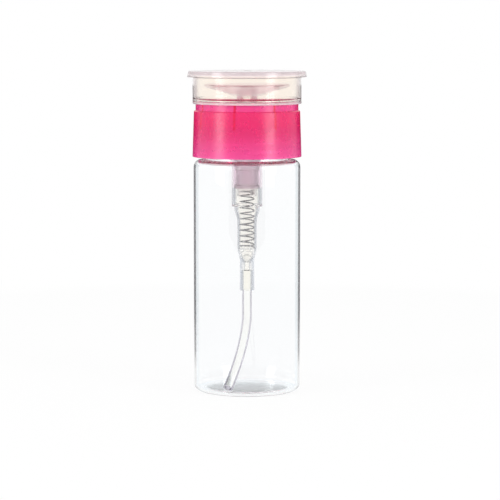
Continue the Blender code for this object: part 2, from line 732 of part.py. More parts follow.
def tube_route():
    """The dip tube's centreline: straight down from its stop, then bending out to the heel of the bottle."""
    reach = BOTTLE_RADIUS - BOTTLE_WALL - TUBE_TIP_INSET
    rough_drop = SOCKET_FOOT - BASE_THICKNESS - PANEL_LIFT
    lean = math.atan(reach * TUBE_BEND_POWER / (TUBE_BEND_START_SHARE * rough_drop))
    tip = BASE_THICKNESS + PANEL_LIFT + SEAT_GAP + TUBE_RADIUS * math.sin(lean)
    drop = SOCKET_FOOT - tip
    bend_top = tip + drop * TUBE_BEND_START_SHARE
    start = TUBE_STOP - SEAT_GAP
    route = [
        Vector((0, 0, start + (bend_top - start) * step / TUBE_STRAIGHT_POINTS))
        for step in range(TUBE_STRAIGHT_POINTS)
    ]
    for step in range(TUBE_BEND_POINTS + 1):
        share = step / TUBE_BEND_POINTS
        out = reach * share**TUBE_BEND_POWER
        height = bend_top + (tip - bend_top) * share
        route.append(Vector((out * math.cos(TUBE_DIRECTION), out * math.sin(TUBE_DIRECTION), height)))
    return route


def make_dip_tube():
    """The flexible tube from the pump's socket to the bottom of the bottle."""
    route = tube_route()
    tube = swept("dip_tube", route, TUBE_RADIUS, TUBE_RESOLUTION, caps=False, twist="MINIMUM")
    wall = tube.modifiers.new("Wall", "SOLIDIFY")
    wall.thickness = TUBE_WALL
    wall.offset = -1
    wall.use_even_offset = True
    return tube


def main():
    clear_scene()
    parts = new_collection("pump_bottle")
    cutters = new_collection("cutters")
    clear = material("clear bottle plastic", (0.93, 0.95, 0.97), 0.05, 1)
    pink = material("pink collar plastic", (0.91, 0.08, 0.27), 0.15, 0.4)
    frosted = material("frosted cap plastic", (0.86, 0.80, 0.82), 0.2, 0.7)
    milky = material("milky pump plastic", (0.88, 0.85, 0.82), 0.25, 0.5)
    soft = material("soft seal plastic", (0.80, 0.74, 0.78), 0.4, 0)
    steel = material("spring wire", (0.60, 0.60, 0.62), 0.3, 0)
    steel.node_tree.nodes["Principled BSDF"].inputs["Metallic"].default_value = 1
    glass = material("valve ball", (0.90, 0.92, 0.95), 0.05, 0.6)
    groups = {
        "bottle_group": [(make_bottle(cutters), clear)],
        "pump_group": [
            (make_pump_housing(), milky),
            (make_guide_bush(), milky),
            (make_neck_gasket(), soft),
            (make_return_spring(), steel),
            (make_dip_tube(), milky),
        ],
        "collar_group": [(make_collar(cutters), pink)],
        "cap_group": [(make_dust_cap(), frosted)],
        "press_group": [
            (make_stem(), milky),
            (make_press_dish(), frosted),
            (make_outlet_insert(cutters), milky),
            (make_piston_seal(), soft),
        ],
        "inlet_ball_group": [(make_ball("inlet_ball", INLET_BALL_RADIUS, INLET_BALL_HEIGHT), glass)],
        "outlet_ball_group": [(make_ball("outlet_ball", OUTLET_BALL_RADIUS, OUTLET_BALL_HEIGHT), glass)],
    }
    for group, pieces in groups.items():
        empty = bpy.data.objects.new(group, None)
        parts.objects.link(empty)
        for piece, finish in pieces:
            parts.objects.link(piece)
            piece.parent = empty
            piece.data.materials.append(finish)
    print(f"overall height {CAP_TOP * 1000:.2f} mm, width {2 * CAP_FLANGE_RADIUS * 1000:.2f} mm")


main()
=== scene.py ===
"""The looks of a press-top pump bottle: its pieces, their finishes and the studio round them.

Lengths are in metres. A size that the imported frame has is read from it, and the rest are settings
that the panel in the 3D view's sidebar shows.
"""

import json
import math

import bmesh
import bpy
from mathutils import Matrix, Vector


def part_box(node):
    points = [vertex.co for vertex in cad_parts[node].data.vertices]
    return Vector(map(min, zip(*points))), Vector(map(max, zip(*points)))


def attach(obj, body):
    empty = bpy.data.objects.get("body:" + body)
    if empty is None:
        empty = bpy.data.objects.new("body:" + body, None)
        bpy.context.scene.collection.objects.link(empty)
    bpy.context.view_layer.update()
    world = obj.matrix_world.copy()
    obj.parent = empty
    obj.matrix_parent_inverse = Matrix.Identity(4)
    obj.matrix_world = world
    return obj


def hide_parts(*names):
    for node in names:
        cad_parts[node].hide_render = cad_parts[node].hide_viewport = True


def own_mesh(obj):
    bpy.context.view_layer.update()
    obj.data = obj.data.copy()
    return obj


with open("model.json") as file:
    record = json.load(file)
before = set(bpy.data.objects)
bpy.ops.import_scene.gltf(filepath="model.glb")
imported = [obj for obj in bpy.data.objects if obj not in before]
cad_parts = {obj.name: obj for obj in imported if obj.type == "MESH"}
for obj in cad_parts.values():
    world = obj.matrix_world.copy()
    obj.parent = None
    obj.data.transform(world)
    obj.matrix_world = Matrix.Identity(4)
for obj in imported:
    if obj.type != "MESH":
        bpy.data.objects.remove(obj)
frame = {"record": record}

bl_info = {
    "name": "Pump Bottle Looks",
    "version": (1, 0, 0),
    "blender": (4, 5, 0),
    "location": "3D View > Sidebar > Pump Bottle",
    "description": "Builds the pieces, finishes and studio of a press-top pump bottle",
    "category": "Add Mesh",
}

WELD = 1e-6
BODY_OF = {node: body for body, nodes in frame["record"]["behaviour"]["bodies"].items() for node in nodes}

# Facets of turned, swept and round pieces
LARGE_STEPS = 144
SMALL_STEPS = 96
FILLET_SEGMENTS = 4
BEAD_SEGMENTS = 12
WIRE_SEGMENTS = 14
WIRE_STEPS_PER_TURN = 48
TUBE_SEGMENTS = 40
CROWN_STEPS = 10
BALL_SEGMENTS = 48
SHARP_ANGLE = math.radians(32)

# Patterns in the finishes: the scale and the detail of each, and the depth of those that are felt
CLOUDS = (90, 3)
POLISH = (240, 4)
RIPPLES = (60, 1)
RIPPLE_DEPTH = 0.002
GRAIN = (3000, 2)
GRAIN_DEPTH = 0.0001
FLOOR_CLOUDS = (8, 2)
PATTERN_RANGE = (0.3, 0.7)
POLISH_RANGE = (0.85, 1.15)
LEDGE_MARGIN = 0.0001

# How slanted a wall is seen where its painted edge shade starts, and where it is full
BOTTLE_EDGE = (0.70, 0.74)
BOTTLE_BORE = (0.6, 0.8)
BOTTLE_SOLE = (0.25, 0.5)
BOTTLE_HEEL = (0.62, 0.82)
CAP_EDGE = (0.56, 0.70)
PUMP_EDGE = (0.26, 0.50)
SOCKET_EDGE = (0.08, 0.26)
STEM_FOOT_EDGE = (0.55, 0.8)
STEM_EDGE = (0.20, 0.32)
TUBE_EDGE = (0.3, 0.42)

# Shares of light that the thicker plastics let through, and the cap's gloss
COLLAR_CLEARNESS = 0.4
CAP_FOOT_CLEARNESS = 0.5
FLANGE_CLEARNESS = 0.6
SKIRT_GLOSS = 0.3

# The studio's tones, and the shade's edge as shares of the bottle's radius
FLOOR_TONES = ([0.93] * 3, [0.95] * 3)
SHADE_EDGE = (0.72, 0.8)
CARD_FOOT = (0.9, 0.9, 0.9)
CARD_GREY = (0.3, 0.3, 0.31)
CARD_DARK = (0.02, 0.02, 0.02)
CARD_THINNESS = 100
MATT_ROUGHNESS = 0.9

# Light paths through many clear walls
CLEAR_BOUNCES = 128
DIFFUSE_BOUNCES = 32
INDIRECT_CLAMP = 4


def span(node):
    """The radius, the foot and the top of a node that is turned about the Z axis."""
    low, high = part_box(node)
    return high.x, low.z, high.z


def length(name, description, default):
    """A size that the panel shows as a length."""
    return bpy.props.FloatProperty(
        name=name, description=description, default=default, precision=5, unit="LENGTH",
        subtype="DISTANCE",
    )


def amount(name, description, default):
    """A plain number or a share."""
    return bpy.props.FloatProperty(name=name, description=description, default=default, precision=3)


def angle(name, description, degrees):
    """An angle that the panel shows in degrees."""
    return bpy.props.FloatProperty(
        name=name, description=description, default=math.radians(degrees), subtype="ANGLE",
        unit="ROTATION",
    )


def count(name, description, default):
    """A number of like things."""
    return bpy.props.IntProperty(name=name, description=description, default=default, min=1)


def colour(name, description, default):
    """A colour that the panel shows as a swatch."""
    return bpy.props.FloatVectorProperty(
        name=name, description=description, default=default, size=3, min=0, max=1, subtype="COLOR"
    )


def section(name, description, kind):
    """A group of settings inside another."""
    return bpy.props.PointerProperty(name=name, description=description, type=kind)


class BottleSizes(bpy.types.PropertyGroup):
    """Sizes of the clear bottle."""

    wall: length("Wall", "Thickness of the round body", 0.0008)
    base: length("Base", "Thickness of the base", 0.0008)
    heel_fillet: length("Heel fillet", "Rounding between the body and the base", 0.0022)
    standing_width: length("Standing ring", "Width of the flat ring that it stands on", 0.0012)
    panel_slope: length("Panel slope", "Width of the slope inside the standing ring", 0.00075)
    panel_lift: length("Panel lift", "Height of the base panel's edge", 0.0004)
    panel_crown: length("Panel crown", "Rise of the base panel to its middle", 0.0014)
    gate_radius: length("Gate radius", "Radius of the moulding gate under the base", 0.0011)
    gate_depth: length("Gate depth", "How far the gate stands out of the panel", 0.00025)
    shoulder_height: length("Shoulder height", "Height of the flat shoulder", 0.0870)
    shoulder_fillet: length("Shoulder fillet", "Rounding of the shoulder", 0.0028)
    shoulder_width: length("Shoulder width", "Width of the flat shoulder round the neck", 0.0040)
    neck_wall: length("Neck wall", "Thickness of the neck", 0.0015)
    lip_fillet: length("Lip fillet", "Rounding of the neck's lip", 0.0003)


class ThreadSizes(bpy.types.PropertyGroup):
    """Sizes of the screw thread between the neck and the collar."""

    pitch: length("Pitch", "Rise of the thread in one turn", 0.0032)
    start: length("Start", "Depth of the thread's top below the neck's lip", 0.0014)
    neck_bead: length("Neck bead", "Radius of the bead round the neck", 0.0008)
    neck_turns: amount("Neck turns", "Turns of the bead round the neck", 1.25)
    collar_bead: length("Collar bead", "Radius of the bead in the collar", 0.0007)
    collar_turns: amount("Collar turns", "Turns of the bead in the collar", 0.9)


class CollarSizes(bpy.types.PropertyGroup):
    """Sizes of the screw collar."""

    skirt_gap: length("Skirt gap", "Room between the neck and the inner skirt", 0.0011)
    skirt_wall: length("Skirt wall", "Thickness of the inner skirt", 0.0009)
    skirt_recess: length("Skirt recess", "How far the inner skirt ends above the collar's foot", 0.0005)
    wall: length("Wall", "Thickness of the outer wall at its foot", 0.0012)
    draft: length("Draft", "How much narrower the outer wall is at its top", 0.00055)
    deck: length("Deck", "Thickness of the deck between the walls", 0.0014)
    well_depth: length("Well depth", "Depth of the well below the ledge", 0.0059)
    ledge_width: length("Ledge width", "Width of the ledge round the ring", 0.00065)
    ring_wall: length("Ring wall", "Thickness of the ring that holds the cap", 0.0010)
    ring_height: length("Ring height", "Height of the ring above the ledge", 0.0034)
    edge_fillet: length("Edge fillet", "Rounding of the ledge and of the ring", 0.0004)
    foot_fillet: length("Foot fillet", "Rounding of the foot and of the skirt", 0.00015)
    rib_count: count("Ribs", "Number of upright ribs in the well", 8)
    rib_angle: angle("First rib", "Direction of the first rib", -103.5)
    rib_width: length("Rib width", "Width of a rib", 0.0009)
    rib_depth: length("Rib depth", "How far a rib stands out of the wall", 0.0009)
    rib_height: length("Rib height", "Height of a rib above the deck", 0.00745)


class CapSizes(bpy.types.PropertyGroup):
    """Sizes of the see-through cap."""

    wall: length("Wall", "Thickness of the skirt", 0.0008)
    plate: length("Plate", "Thickness of the flat plate", 0.0012)
    flange_height: length("Flange height", "Height of the flange's edge", 0.0022)
    flange_width: length("Flange width", "How far the flange stands out of the skirt", 0.0021)
    flange_draft: length("Flange draft", "How much narrower the flange is at its top", 0.0004)
    stop_depth: length("Stop depth", "How far the inner bead stands in", 0.0003)
    stop_height: length("Stop height", "Height of the inner bead", 0.0008)
    fillet: length("Fillet", "Rounding of the outer edges", 0.0003)
    gate_radius: length("Gate radius", "Radius of the dimple that holds the moulding gate", 0.0016)
    gate_depth: length("Gate depth", "Depth of that dimple", 0.00025)


class DishSizes(bpy.types.PropertyGroup):
    """Sizes of the press dish and of its slotted insert."""

    rim: length("Rim", "Width and height of the thin rim", 0.0008)
    floor: length("Floor", "Thickness of the floor round the boss", 0.00115)
    boss_rise: length("Boss rise", "Height of the boss above the floor", 0.0015)
    lip: length("Lip", "Thickness of the boss's lip and of the insert's disc", 0.0006)
    hub_wall: length("Hub wall", "Thickness of the boss round the stem", 0.00095)
    edge_fillet: length("Edge fillet", "Rounding of the rim", 0.0002)
    insert_wall: length("Insert wall", "Thickness of the insert's cage", 0.0006)
    slot_count: count("Slots", "Number of slots in the insert", 4)
    slot_width: length("Slot width", "Width of a slot", 0.0005)
    slot_length: length("Slot length", "Length of a slot", 0.0009)
    slot_inset: length("Slot inset", "Distance of a slot from the axis", 0.0004)


class PumpSizes(bpy.types.PropertyGroup):
    """Sizes of the pump under the collar."""

    gap: length("Gap", "Clearance between pieces that seat on each other or slide", 0.0003)
    stroke: length("Stroke", "Travel of the stem", 0.0057)
    throat_wall: length("Throat wall", "Thickness of the throat", 0.0008)
    snap_lip: length("Snap lip", "How far the snap bead stands over the deck", 0.0004)
    snap_height: length("Snap height", "Height of the snap bead", 0.0008)
    flange: length("Flange", "Thickness of the flange on the neck", 0.0011)
    flare_depth: length("Flare depth", "Depth of the flare's foot below the flange", 0.0111)
    flare_length: length("Flare length", "Height of the flare", 0.0033)
    barrel_wall: length("Barrel wall", "Thickness of the barrel", 0.00075)
    barrel_length: length("Barrel length", "Depth of the barrel's foot below the flange", 0.0272)
    barrel_floor: length("Barrel floor", "Thickness of the barrel's floor", 0.0007)
    waist_gap: length("Waist gap", "Room between the spring cup and the waist", 0.0004)
    waist_wall: length("Waist wall", "Thickness of the waist", 0.0008)
    waist_taper: length("Waist taper", "Height of the taper below the waist", 0.0034)
    waist_shift: length("Waist shift", "How much higher the taper starts outside", 0.0006)
    tube_wall: length("Spring tube wall", "Thickness of the tube round the spring", 0.0005)
    nose_taper: length("Nose taper", "Height of the taper round the valve", 0.0043)
    socket_wall: length("Socket wall", "Thickness of the tube socket", 0.00055)
    socket_flare: length("Socket flare", "How much wider the socket is at its foot", 0.0001)
    socket_depth: length("Socket depth", "Depth of the socket", 0.0078)
    lip: length("Valve lip", "Thickness of the lip over the lower ball", 0.0007)
    lip_bite: length("Valve lip bite", "How far that lip reaches over the ball", 0.0002)
    ball_play: length("Ball play", "Room round the lower ball", 0.00055)
    channel: length("Channel", "Radius of the channel under the lower ball", 0.0012)
    seat_depth: length("Seat depth", "Height of the ball's conical seat", 0.0020)
    seat_rise: length("Seat rise", "Height of the seat's top below the valve's lip", 0.00292)
    bush_disc: length("Bush disc", "Thickness of the guide bush's disc", 0.0010)
    bush_spigot: length("Bush spigot", "Depth of the bush's spigot", 0.0063)
    bush_taper: length("Bush taper", "Height of the taper under the spigot", 0.0015)
    sleeve_wall: length("Sleeve wall", "Thickness of the bush's sleeve", 0.00065)
    seal_waist: length("Seal waist", "Depth of the piston seal's waist", 0.0005)
    seal_lip: length("Seal lip", "Height of each sealing lip", 0.0012)
    gasket_width: length("Gasket width", "Width of the neck gasket", 0.0035)
    edge_fillet: length("Edge fillet", "Rounding of moulded edges", 0.00015)


class StemSizes(bpy.types.PropertyGroup):
    """Sizes of the hollow stem."""

    bore: length("Bore", "Radius of the channel", 0.00235)
    neck_radius: length("Neck radius", "Radius where the seal sits", 0.0030)
    neck_bore: length("Neck bore", "Radius of the channel in the neck", 0.0016)
    bore_taper: length("Bore taper", "Height over which the channel widens", 0.0010)
    web: length("Web", "Thickness over the spring pocket", 0.0008)
    cup_radius: length("Cup radius", "Radius of the spring cup", 0.0036)
    pocket_radius: length("Pocket radius", "Radius of the spring pocket", 0.00315)
    pocket_depth: length("Pocket depth", "Depth of the spring pocket", 0.00275)
    orifice: length("Orifice", "Radius of the hole under the upper ball", 0.0009)
    seat: length("Seat", "Thickness of the upper ball's seat", 0.0009)
    seat_height: length("Seat height", "Height of that seat below the stem's top", 0.00364)
    socket_step: length("Socket step", "How much wider the insert's socket is", 0.0004)


class SpringSizes(bpy.types.PropertyGroup):
    """Sizes of the return spring."""

    wire: length("Wire", "Thickness of the wire", 0.0005)
    radius: length("Radius", "Radius of the wire's centreline", 0.0026)
    open_turns: count("Open turns", "Turns between the close ones", 9)
    end_turns: count("End turns", "Close turns at each end", 1)
    end_pitch: length("End pitch", "Rise of a close turn", 0.0011)


class TubeSizes(bpy.types.PropertyGroup):
    """Sizes of the dip tube."""

    radius: length("Radius", "Outer radius", 0.0018)
    wall: length("Wall", "Thickness of the tube's wall", 0.0005)
    tip_inset: length("Tip inset", "Distance of the tip's middle from the bottle's wall", 0.00265)
    direction: angle("Direction", "Direction in which the tube leans", 245)
    bend_start: amount("Bend start", "Height of the bend's start, as a share of the drop", 0.75)
    bend_power: amount("Bend power", "How late the tube bends", 1.775)
    steps: count("Steps", "Steps along the bend", 60)


class Finishes(bpy.types.PropertyGroup):
    """Colours of the finishes."""

    bottle: colour("Bottle", "Clear plastic", (0.99, 0.995, 1.0))
    # Painted shade: the dark edge lines that the clear wall shows of its dark surroundings, laid into its
    # colour where it is seen along its surface.
    bottle_edge: colour(
        "Bottle edge", "Clear plastic where the light runs along the wall", (0.07, 0.07, 0.075)
    )
    # Painted shade, bluish, on the inside of the wall where it is seen along its surface.
    bottle_bore: colour("Bottle bore", "The same on the inside of the wall", (0.80, 0.90, 0.96))
    collar: colour("Collar", "Translucent pink", (0.96, 0.018, 0.19))
    # Painted light: a paler pink for the ring and the skirt, where light comes through both sides.
    collar_skirt: colour(
        "Collar skirt", "The same below the deck, where light reaches both sides", (1.0, 0.072, 0.345)
    )
    collar_rib: colour("Collar rib", "The same where a rib thickens the wall", (0.92, 0.003, 0.10))
    # Painted light: a paler pink on the skirt's inner side, which lightens its shade.
    collar_inside: colour("Collar inside", "The inner side of that skirt", (1.0, 0.48, 0.65))
    cap: colour("Cap", "Thin walls of the cap, slightly warm", (1.0, 0.955, 0.905))
    # Painted shade at the edges of the cap's walls, where they are seen along their surface.
    cap_edge: colour("Cap edge", "The cap's walls seen along their surface", (0.74, 0.68, 0.70))
    flange: colour("Flange", "Thick plate and flange of the cap, milkier", (0.88, 0.78, 0.80))
    cap_foot: colour("Cap foot", "Foot of the cap's skirt, milkier too", (0.97, 0.83, 0.88))
    # Milky dish plastic with a faint painted pink that stands for the pink light from the collar below.
    dish: colour("Dish", "Milky plastic of the dish", (1.0, 0.955, 0.985))
    dish_rim: colour("Dish rim", "The same in the dish's rim, seen along its wall", (0.84, 0.72, 0.76))
    pump: colour("Pump", "Milky plastic of the pump", (1.0, 0.985, 0.955))
    # Painted shade at the edges of the pump's walls, where they are seen along their surface.
    pump_edge: colour("Pump edge", "The pump's walls seen along their surface", (0.50, 0.52, 0.57))
    # Painted shade in the socket, where its walls are seen along their surface.
    socket: colour("Socket", "The same in the narrow socket of the dip tube", (0.68, 0.70, 0.74))
    barrel: colour("Barrel", "The housing round the piston, which clouds it", (0.89, 0.80, 0.85))
    stem: colour("Stem", "Clouded plastic of the stem, its guide and its insert", (1.0, 0.98, 0.985))
    # Painted shade, pinkish, at the edges of the stem's walls above the bush.
    stem_edge: colour("Stem edge", "The same over the bush, seen along its wall", (0.82, 0.65, 0.75))
    tube: colour("Tube", "Hazy plastic of the dip tube", (1.0, 1.0, 0.985))
    # Painted shade at the edges of the tube's wall, where it is seen along its surface.
    tube_edge: colour("Tube edge", "The tube's wall seen along its surface", (0.60, 0.58, 0.64))
    # White seal plastic with a faint painted pink that stands for the pink light from the collar above.
    seal: colour("Seal", "Soft plastic of the seals", (1.0, 0.96, 0.97))
    wire: colour("Wire", "Drawn spring steel", (0.45, 0.45, 0.48))
    ball: colour("Ball", "Valve balls", (1.0, 1.0, 0.99))


class Studio(bpy.types.PropertyGroup):
    """Floor, cards, lamps and camera."""

    floor_radius: length("Floor radius", "Radius of the pale floor", 3.0)
    floor_glow: amount("Floor glow", "Share of pure white in the floor round the bottle", 0.94)
    shade_glow: amount("Shade glow", "Share of pure white in the floor under the bottle", 0)
    glow_end: length("Glow end", "Distance at which the floor is pure white", 0.35)
    side_card_angle: angle("Side card angle", "Direction of the dark cards from straight behind", 35)
    side_card_distance: length("Side card distance", "Distance of those cards from the bottle", 0.10)
    side_card_width: length("Side card width", "Width of those cards", 0.093)
    front_card_distance: length(
        "Front card distance", "Distance of the dark card on the camera's side", 0.50
    )
    front_card_width: length("Front card width", "Width of that card", 0.80)
    card_join: length("Card join", "Height at which the side cards turn from grey to dark", 0.080)
    card_top: length("Card top", "Height of the side cards' top", 0.112)
    card_fade: length("Card fade", "Height over which the side cards turn from white to grey", 0.02)
    front_card_top: length("Front card top", "Height of the front card's top", 0.085)
    lamp_distance: length("Lamp distance", "Distance of the strip lamps", 0.6)
    lamp_width: length("Lamp width", "Width of a strip lamp", 0.22)
    lamp_height: length("Lamp height", "Height of a strip lamp", 0.50)
    lamp_middle: length("Lamp middle", "Height of a strip lamp's middle over the floor", 0.27)
    lamp_power: amount("Lamp power", "Power of a strip lamp in watts", 1.8)
    left_angle: angle("Left lamp", "Direction of the left lamp from the camera's", -60)
    right_angle: angle("Right lamp", "Direction of the right lamp from the camera's", 50)
    fill: amount("Fill", "Strength of the light from all round", 0.7)
    lens: amount("Lens", "Focal length in millimetres", 150.1)
    camera_distance: length("Camera distance", "Distance of the camera in front of the axis", 0.780)
    camera_height: length("Camera height", "Height of the camera", 0.137)
    camera_pitch: angle("Camera pitch", "How far the camera looks down", 6.16)
    camera_shift: amount("Camera shift", "Sideways shift of the frame", 0.0060)


class PumpBottleSettings(bpy.types.PropertyGroup):
    """Everything that the panel shows."""

    bottle: section("Bottle", "Clear bottle", BottleSizes)
    thread: section("Thread", "Screw thread", ThreadSizes)
    collar: section("Collar", "Screw collar", CollarSizes)
    cap: section("Cap", "See-through cap", CapSizes)
    dish: section("Dish", "Press dish and insert", DishSizes)
    pump: section("Pump", "Pump under the collar", PumpSizes)
    stem: section("Stem", "Hollow stem", StemSizes)
    spring: section("Spring", "Return spring", SpringSizes)
    tube: section("Tube", "Dip tube", TubeSizes)
    finishes: section("Finishes", "Colours", Finishes)
    studio: section("Studio", "Floor, lamps and camera", Studio)


def outline(shape, corners, closed, usual):
    """Draws the outline through (radius, height, fillet) corners, where no fillet means the usual one."""
    points = [shape.verts.new((radius, 0, height)) for radius, height, *_ in corners]
    for here, there in zip(points, points[1:]):
        shape.edges.new((here, there))
    if closed:
        shape.edges.new((points[-1], points[0]))
    for point, corner in zip(points, corners):
        fillet = corner[2] if len(corner) > 2 else usual
        if fillet:
            bmesh.ops.bevel(
                shape, geom=[point], offset=fillet, offset_type="OFFSET", segments=FILLET_SEGMENTS,
                profile=0.5, affect="VERTICES", material=-1,
            )


def turned(corners, steps, closed, usual):
    """A shape turned about the Z axis from its outline."""
    shape = bmesh.new()
    outline(shape, corners, closed, usual)
    bmesh.ops.spin(
        shape, geom=shape.verts[:] + shape.edges[:], cent=(0, 0, 0), axis=(0, 0, 1), angle=math.tau,
        steps=steps, use_merge=True,
    )
    bmesh.ops.remove_doubles(shape, verts=shape.verts, dist=WELD)
    bmesh.ops.recalc_face_normals(shape, faces=shape.faces)
    return shape


def ring_at(shape, segments, radius, place):
    """An open ring of edges, with its vertices and edges in one list."""
    points = bmesh.ops.create_circle(shape, segments=segments, radius=radius, matrix=place)["verts"]
    return points + list({edge for point in points for edge in point.link_edges})


def only_edges(geometry):
    """The edges among some geometry."""
    return [part for part in geometry if isinstance(part, bmesh.types.BMEdge)]


def coil(radius, foot, wire, segments, stretches):
    """A round wire wound upwards from +X through stretches of (turns, pitch), with closed ends."""
    shape = bmesh.new()
    place = Matrix.Translation((radius, 0, foot)) @ Matrix.Rotation(math.pi / 2, 4, "X")
    geometry = ring_at(shape, segments, wire, place)
    first = only_edges(geometry)
    for turns, pitch in stretches:
        wound = bmesh.ops.spin(
            shape, geom=geometry, cent=(0, 0, 0), axis=(0, 0, 1), angle=turns * math.tau,
            dvec=(0, 0, pitch / WIRE_STEPS_PER_TURN), steps=round(turns * WIRE_STEPS_PER_TURN),
        )
        geometry = wound["geom_last"]
    bmesh.ops.edgeloop_fill(shape, edges=first)
    bmesh.ops.edgeloop_fill(shape, edges=only_edges(geometry))
    bmesh.ops.recalc_face_normals(shape, faces=shape.faces)
    return shape


def thread_bead(radius, top, bead, turns, pitch):
    """A thread's bead, wound up to its top at +X."""
    shape = coil(radius, top - turns * pitch, bead, BEAD_SEGMENTS, [(turns, pitch)])
    bmesh.ops.rotate(
        shape, verts=shape.verts, cent=(0, 0, 0), matrix=Matrix.Rotation(-turns * math.tau, 3, "Z")
    )
    return shape


def blocks(size, middle, turns):
    """Like blocks round the Z axis, each of a size and with its middle at a place before its turn."""
    shape = bmesh.new()
    for turn in turns:
        block = bmesh.ops.create_cube(shape, size=1)["verts"]
        bmesh.ops.scale(shape, vec=size, verts=block)
        bmesh.ops.translate(shape, vec=middle, verts=block)
        bmesh.ops.rotate(shape, verts=block, cent=(0, 0, 0), matrix=Matrix.Rotation(turn, 3, "Z"))
    return shape


def sweep(shape, route, radius, segments):
    """Adds a tube's surface along a route of points, open at both ends."""
    heading = route[1] - route[0]
    place = Matrix.Translation(route[0]) @ heading.to_track_quat("Z", "Y").to_matrix().to_4x4()
    edges = only_edges(ring_at(shape, segments, radius, place))
    for index in range(1, len(route)):
        extruded = bmesh.ops.extrude_edge_only(shape, edges=edges)["geom"]
        points = [part for part in extruded if isinstance(part, bmesh.types.BMVert)]
        edges = [edge for edge in only_edges(extruded) if all(point in points for point in edge.verts)]
        ahead = route[min(index + 1, len(route) - 1)] - route[index - 1]
        turn = heading.rotation_difference(ahead).to_matrix()
        bmesh.ops.translate(shape, vec=route[index] - route[index - 1], verts=points)
        bmesh.ops.rotate(shape, verts=points, cent=route[index], matrix=turn)
        heading = ahead


def mesh_of(shape, name):
    """A smooth mesh with its sharp edges marked."""
    mesh = bpy.data.meshes.new(name)
    shape.to_mesh(mesh)
    shape.free()
    mesh.shade_smooth()
    mesh.set_sharp_from_angle(angle=SHARP_ANGLE)
    return mesh


def linked(name, data):
    """A new object in the scene."""
    made = bpy.data.objects.new(name, data)
    bpy.context.scene.collection.objects.link(made)
    return made


def combine(piece, shape, operation):
    """Joins another shape to a piece, or cuts it out."""
    other = linked("helper", mesh_of(shape, "helper"))
    modifier = piece.modifiers.new("Combine", "BOOLEAN")
    modifier.operation = operation
    modifier.object = other
    evaluated = piece.evaluated_get(bpy.context.evaluated_depsgraph_get())
    mesh = bpy.data.meshes.new_from_object(evaluated)
    piece.modifiers.remove(modifier)
    piece.data = mesh
    mesh.set_sharp_from_angle(angle=SHARP_ANGLE)
    bpy.data.objects.remove(other, do_unlink=True)


def stand_for(piece, node, finish):
    """Lets a piece ride in place of a node of the frame, in its finish."""
    piece.data.materials.clear()
    piece.data.materials.append(finish)
    flats = piece.modifiers.new("Flats", "WEIGHTED_NORMAL")
    flats.keep_sharp = True
    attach(piece, BODY_OF[node])
    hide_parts(node)


def feed(socket, value):
    """Links another socket to a socket, or sets its number or its colour."""
    if isinstance(value, bpy.types.NodeSocket):
        socket.id_data.links.new(value, socket)
    elif socket.type == "RGBA":
        socket.default_value = (*value, 1)
    else:
        socket.default_value = value


def add_node(tree, kind, *inputs, **values):
    """A shader node, with its settings and sockets set by name and its sockets also in order."""
    made = tree.nodes.new(f"ShaderNode{kind}")
    for name, value in values.items():
        socket = made.inputs.get(name)
        if socket is None:
            setattr(made, name, value)
        else:
            feed(socket, value)
    for socket, value in zip(made.inputs, inputs):
        feed(socket, value)
    return made


def shaded(tree, **values):
    """Feeds the sockets of a finish's shader by name."""
    for name, value in values.items():
        feed(tree.nodes["Principled BSDF"].inputs[name.replace("_", " ")], value)


def maths(operation, first, *others):
    """The result of a sum on one value and others."""
    return add_node(first.id_data, "Math", first, *others, operation=operation).outputs["Value"]


def product(one, other):
    """Two values multiplied."""
    return maths("MULTIPLY", one, other)


def place_of(tree):
    """A point's place on its piece."""
    return tree.nodes["Texture Coordinate"].outputs["Object"]


def height_of(tree):
    """A point's height."""
    return add_node(tree, "SeparateXYZ", place_of(tree)).outputs["Z"]


def distance_out(tree):
    """A point's distance from the Z axis."""
    flat = add_node(tree, "VectorMath", place_of(tree), (1, 1, 0), operation="MULTIPLY")
    return add_node(tree, "VectorMath", flat.outputs["Vector"], operation="LENGTH").outputs["Value"]


def noise(place, scale, detail):
    """A noise pattern over a piece."""
    return add_node(place.id_data, "TexNoise", Vector=place, Scale=scale, Detail=detail).outputs["Fac"]


def ramp(factor, low, high):
    """A blend from one colour to another along a pattern."""
    made = add_node(factor.id_data, "ValToRGB", factor)
    for element, tint, position in zip(made.color_ramp.elements, (low, high), PATTERN_RANGE):
        element.color = (*tint, 1)
        element.position = position
    return made.outputs["Color"]


def remapped(value, start, end, low, high):
    """A value that goes from low to high as another goes from start to end."""
    sockets = (value, start, end, low, high)
    return add_node(value.id_data, "MapRange", *sockets, interpolation_type="SMOOTHSTEP").outputs["Result"]


def mixed(factor, first, second):
    """A blend of two colours, each a socket or a plain colour."""
    made = add_node(factor.id_data, "Mix", factor, data_type="RGBA")
    for socket, tint in zip((entry for entry in made.inputs if entry.type == "RGBA"), (first, second)):
        feed(socket, tint)
    return next(entry for entry in made.outputs if entry.type == "RGBA")


def edge_shade_share(tree, start, full):
    """A share that rises where plastic is seen along its surface: painted edge shade, standing for the
    dark surroundings that a wall's edge shows, and partly for the deeper colour of the longer path through
    the wall there.
    """
    return remapped(tree.nodes.new("ShaderNodeLayerWeight").outputs["Facing"], start, full, 0, 1)


def base_of(tree):
    """The socket that feeds the base colour."""
    return tree.nodes["Principled BSDF"].inputs["Base Color"].links[0].from_socket


def tinted(share, tint):
    """Lays a colour over a finish's own by a share."""
    shaded(share.id_data, Base_Color=mixed(share, base_of(share.id_data), tint))


def bumped(height, distance, strength, **below):
    """A bump from a pattern, over another bump where there is one."""
    made = add_node(
        height.id_data, "Bump", Height=height, Distance=distance, Strength=strength, **below
    )
    return made.outputs["Normal"]


def blank(name):
    """A new finish that knows a point's place."""
    made = bpy.data.materials.new(name)
    made.use_nodes = True
    made.node_tree.nodes.new("ShaderNodeTexCoord")
    return made


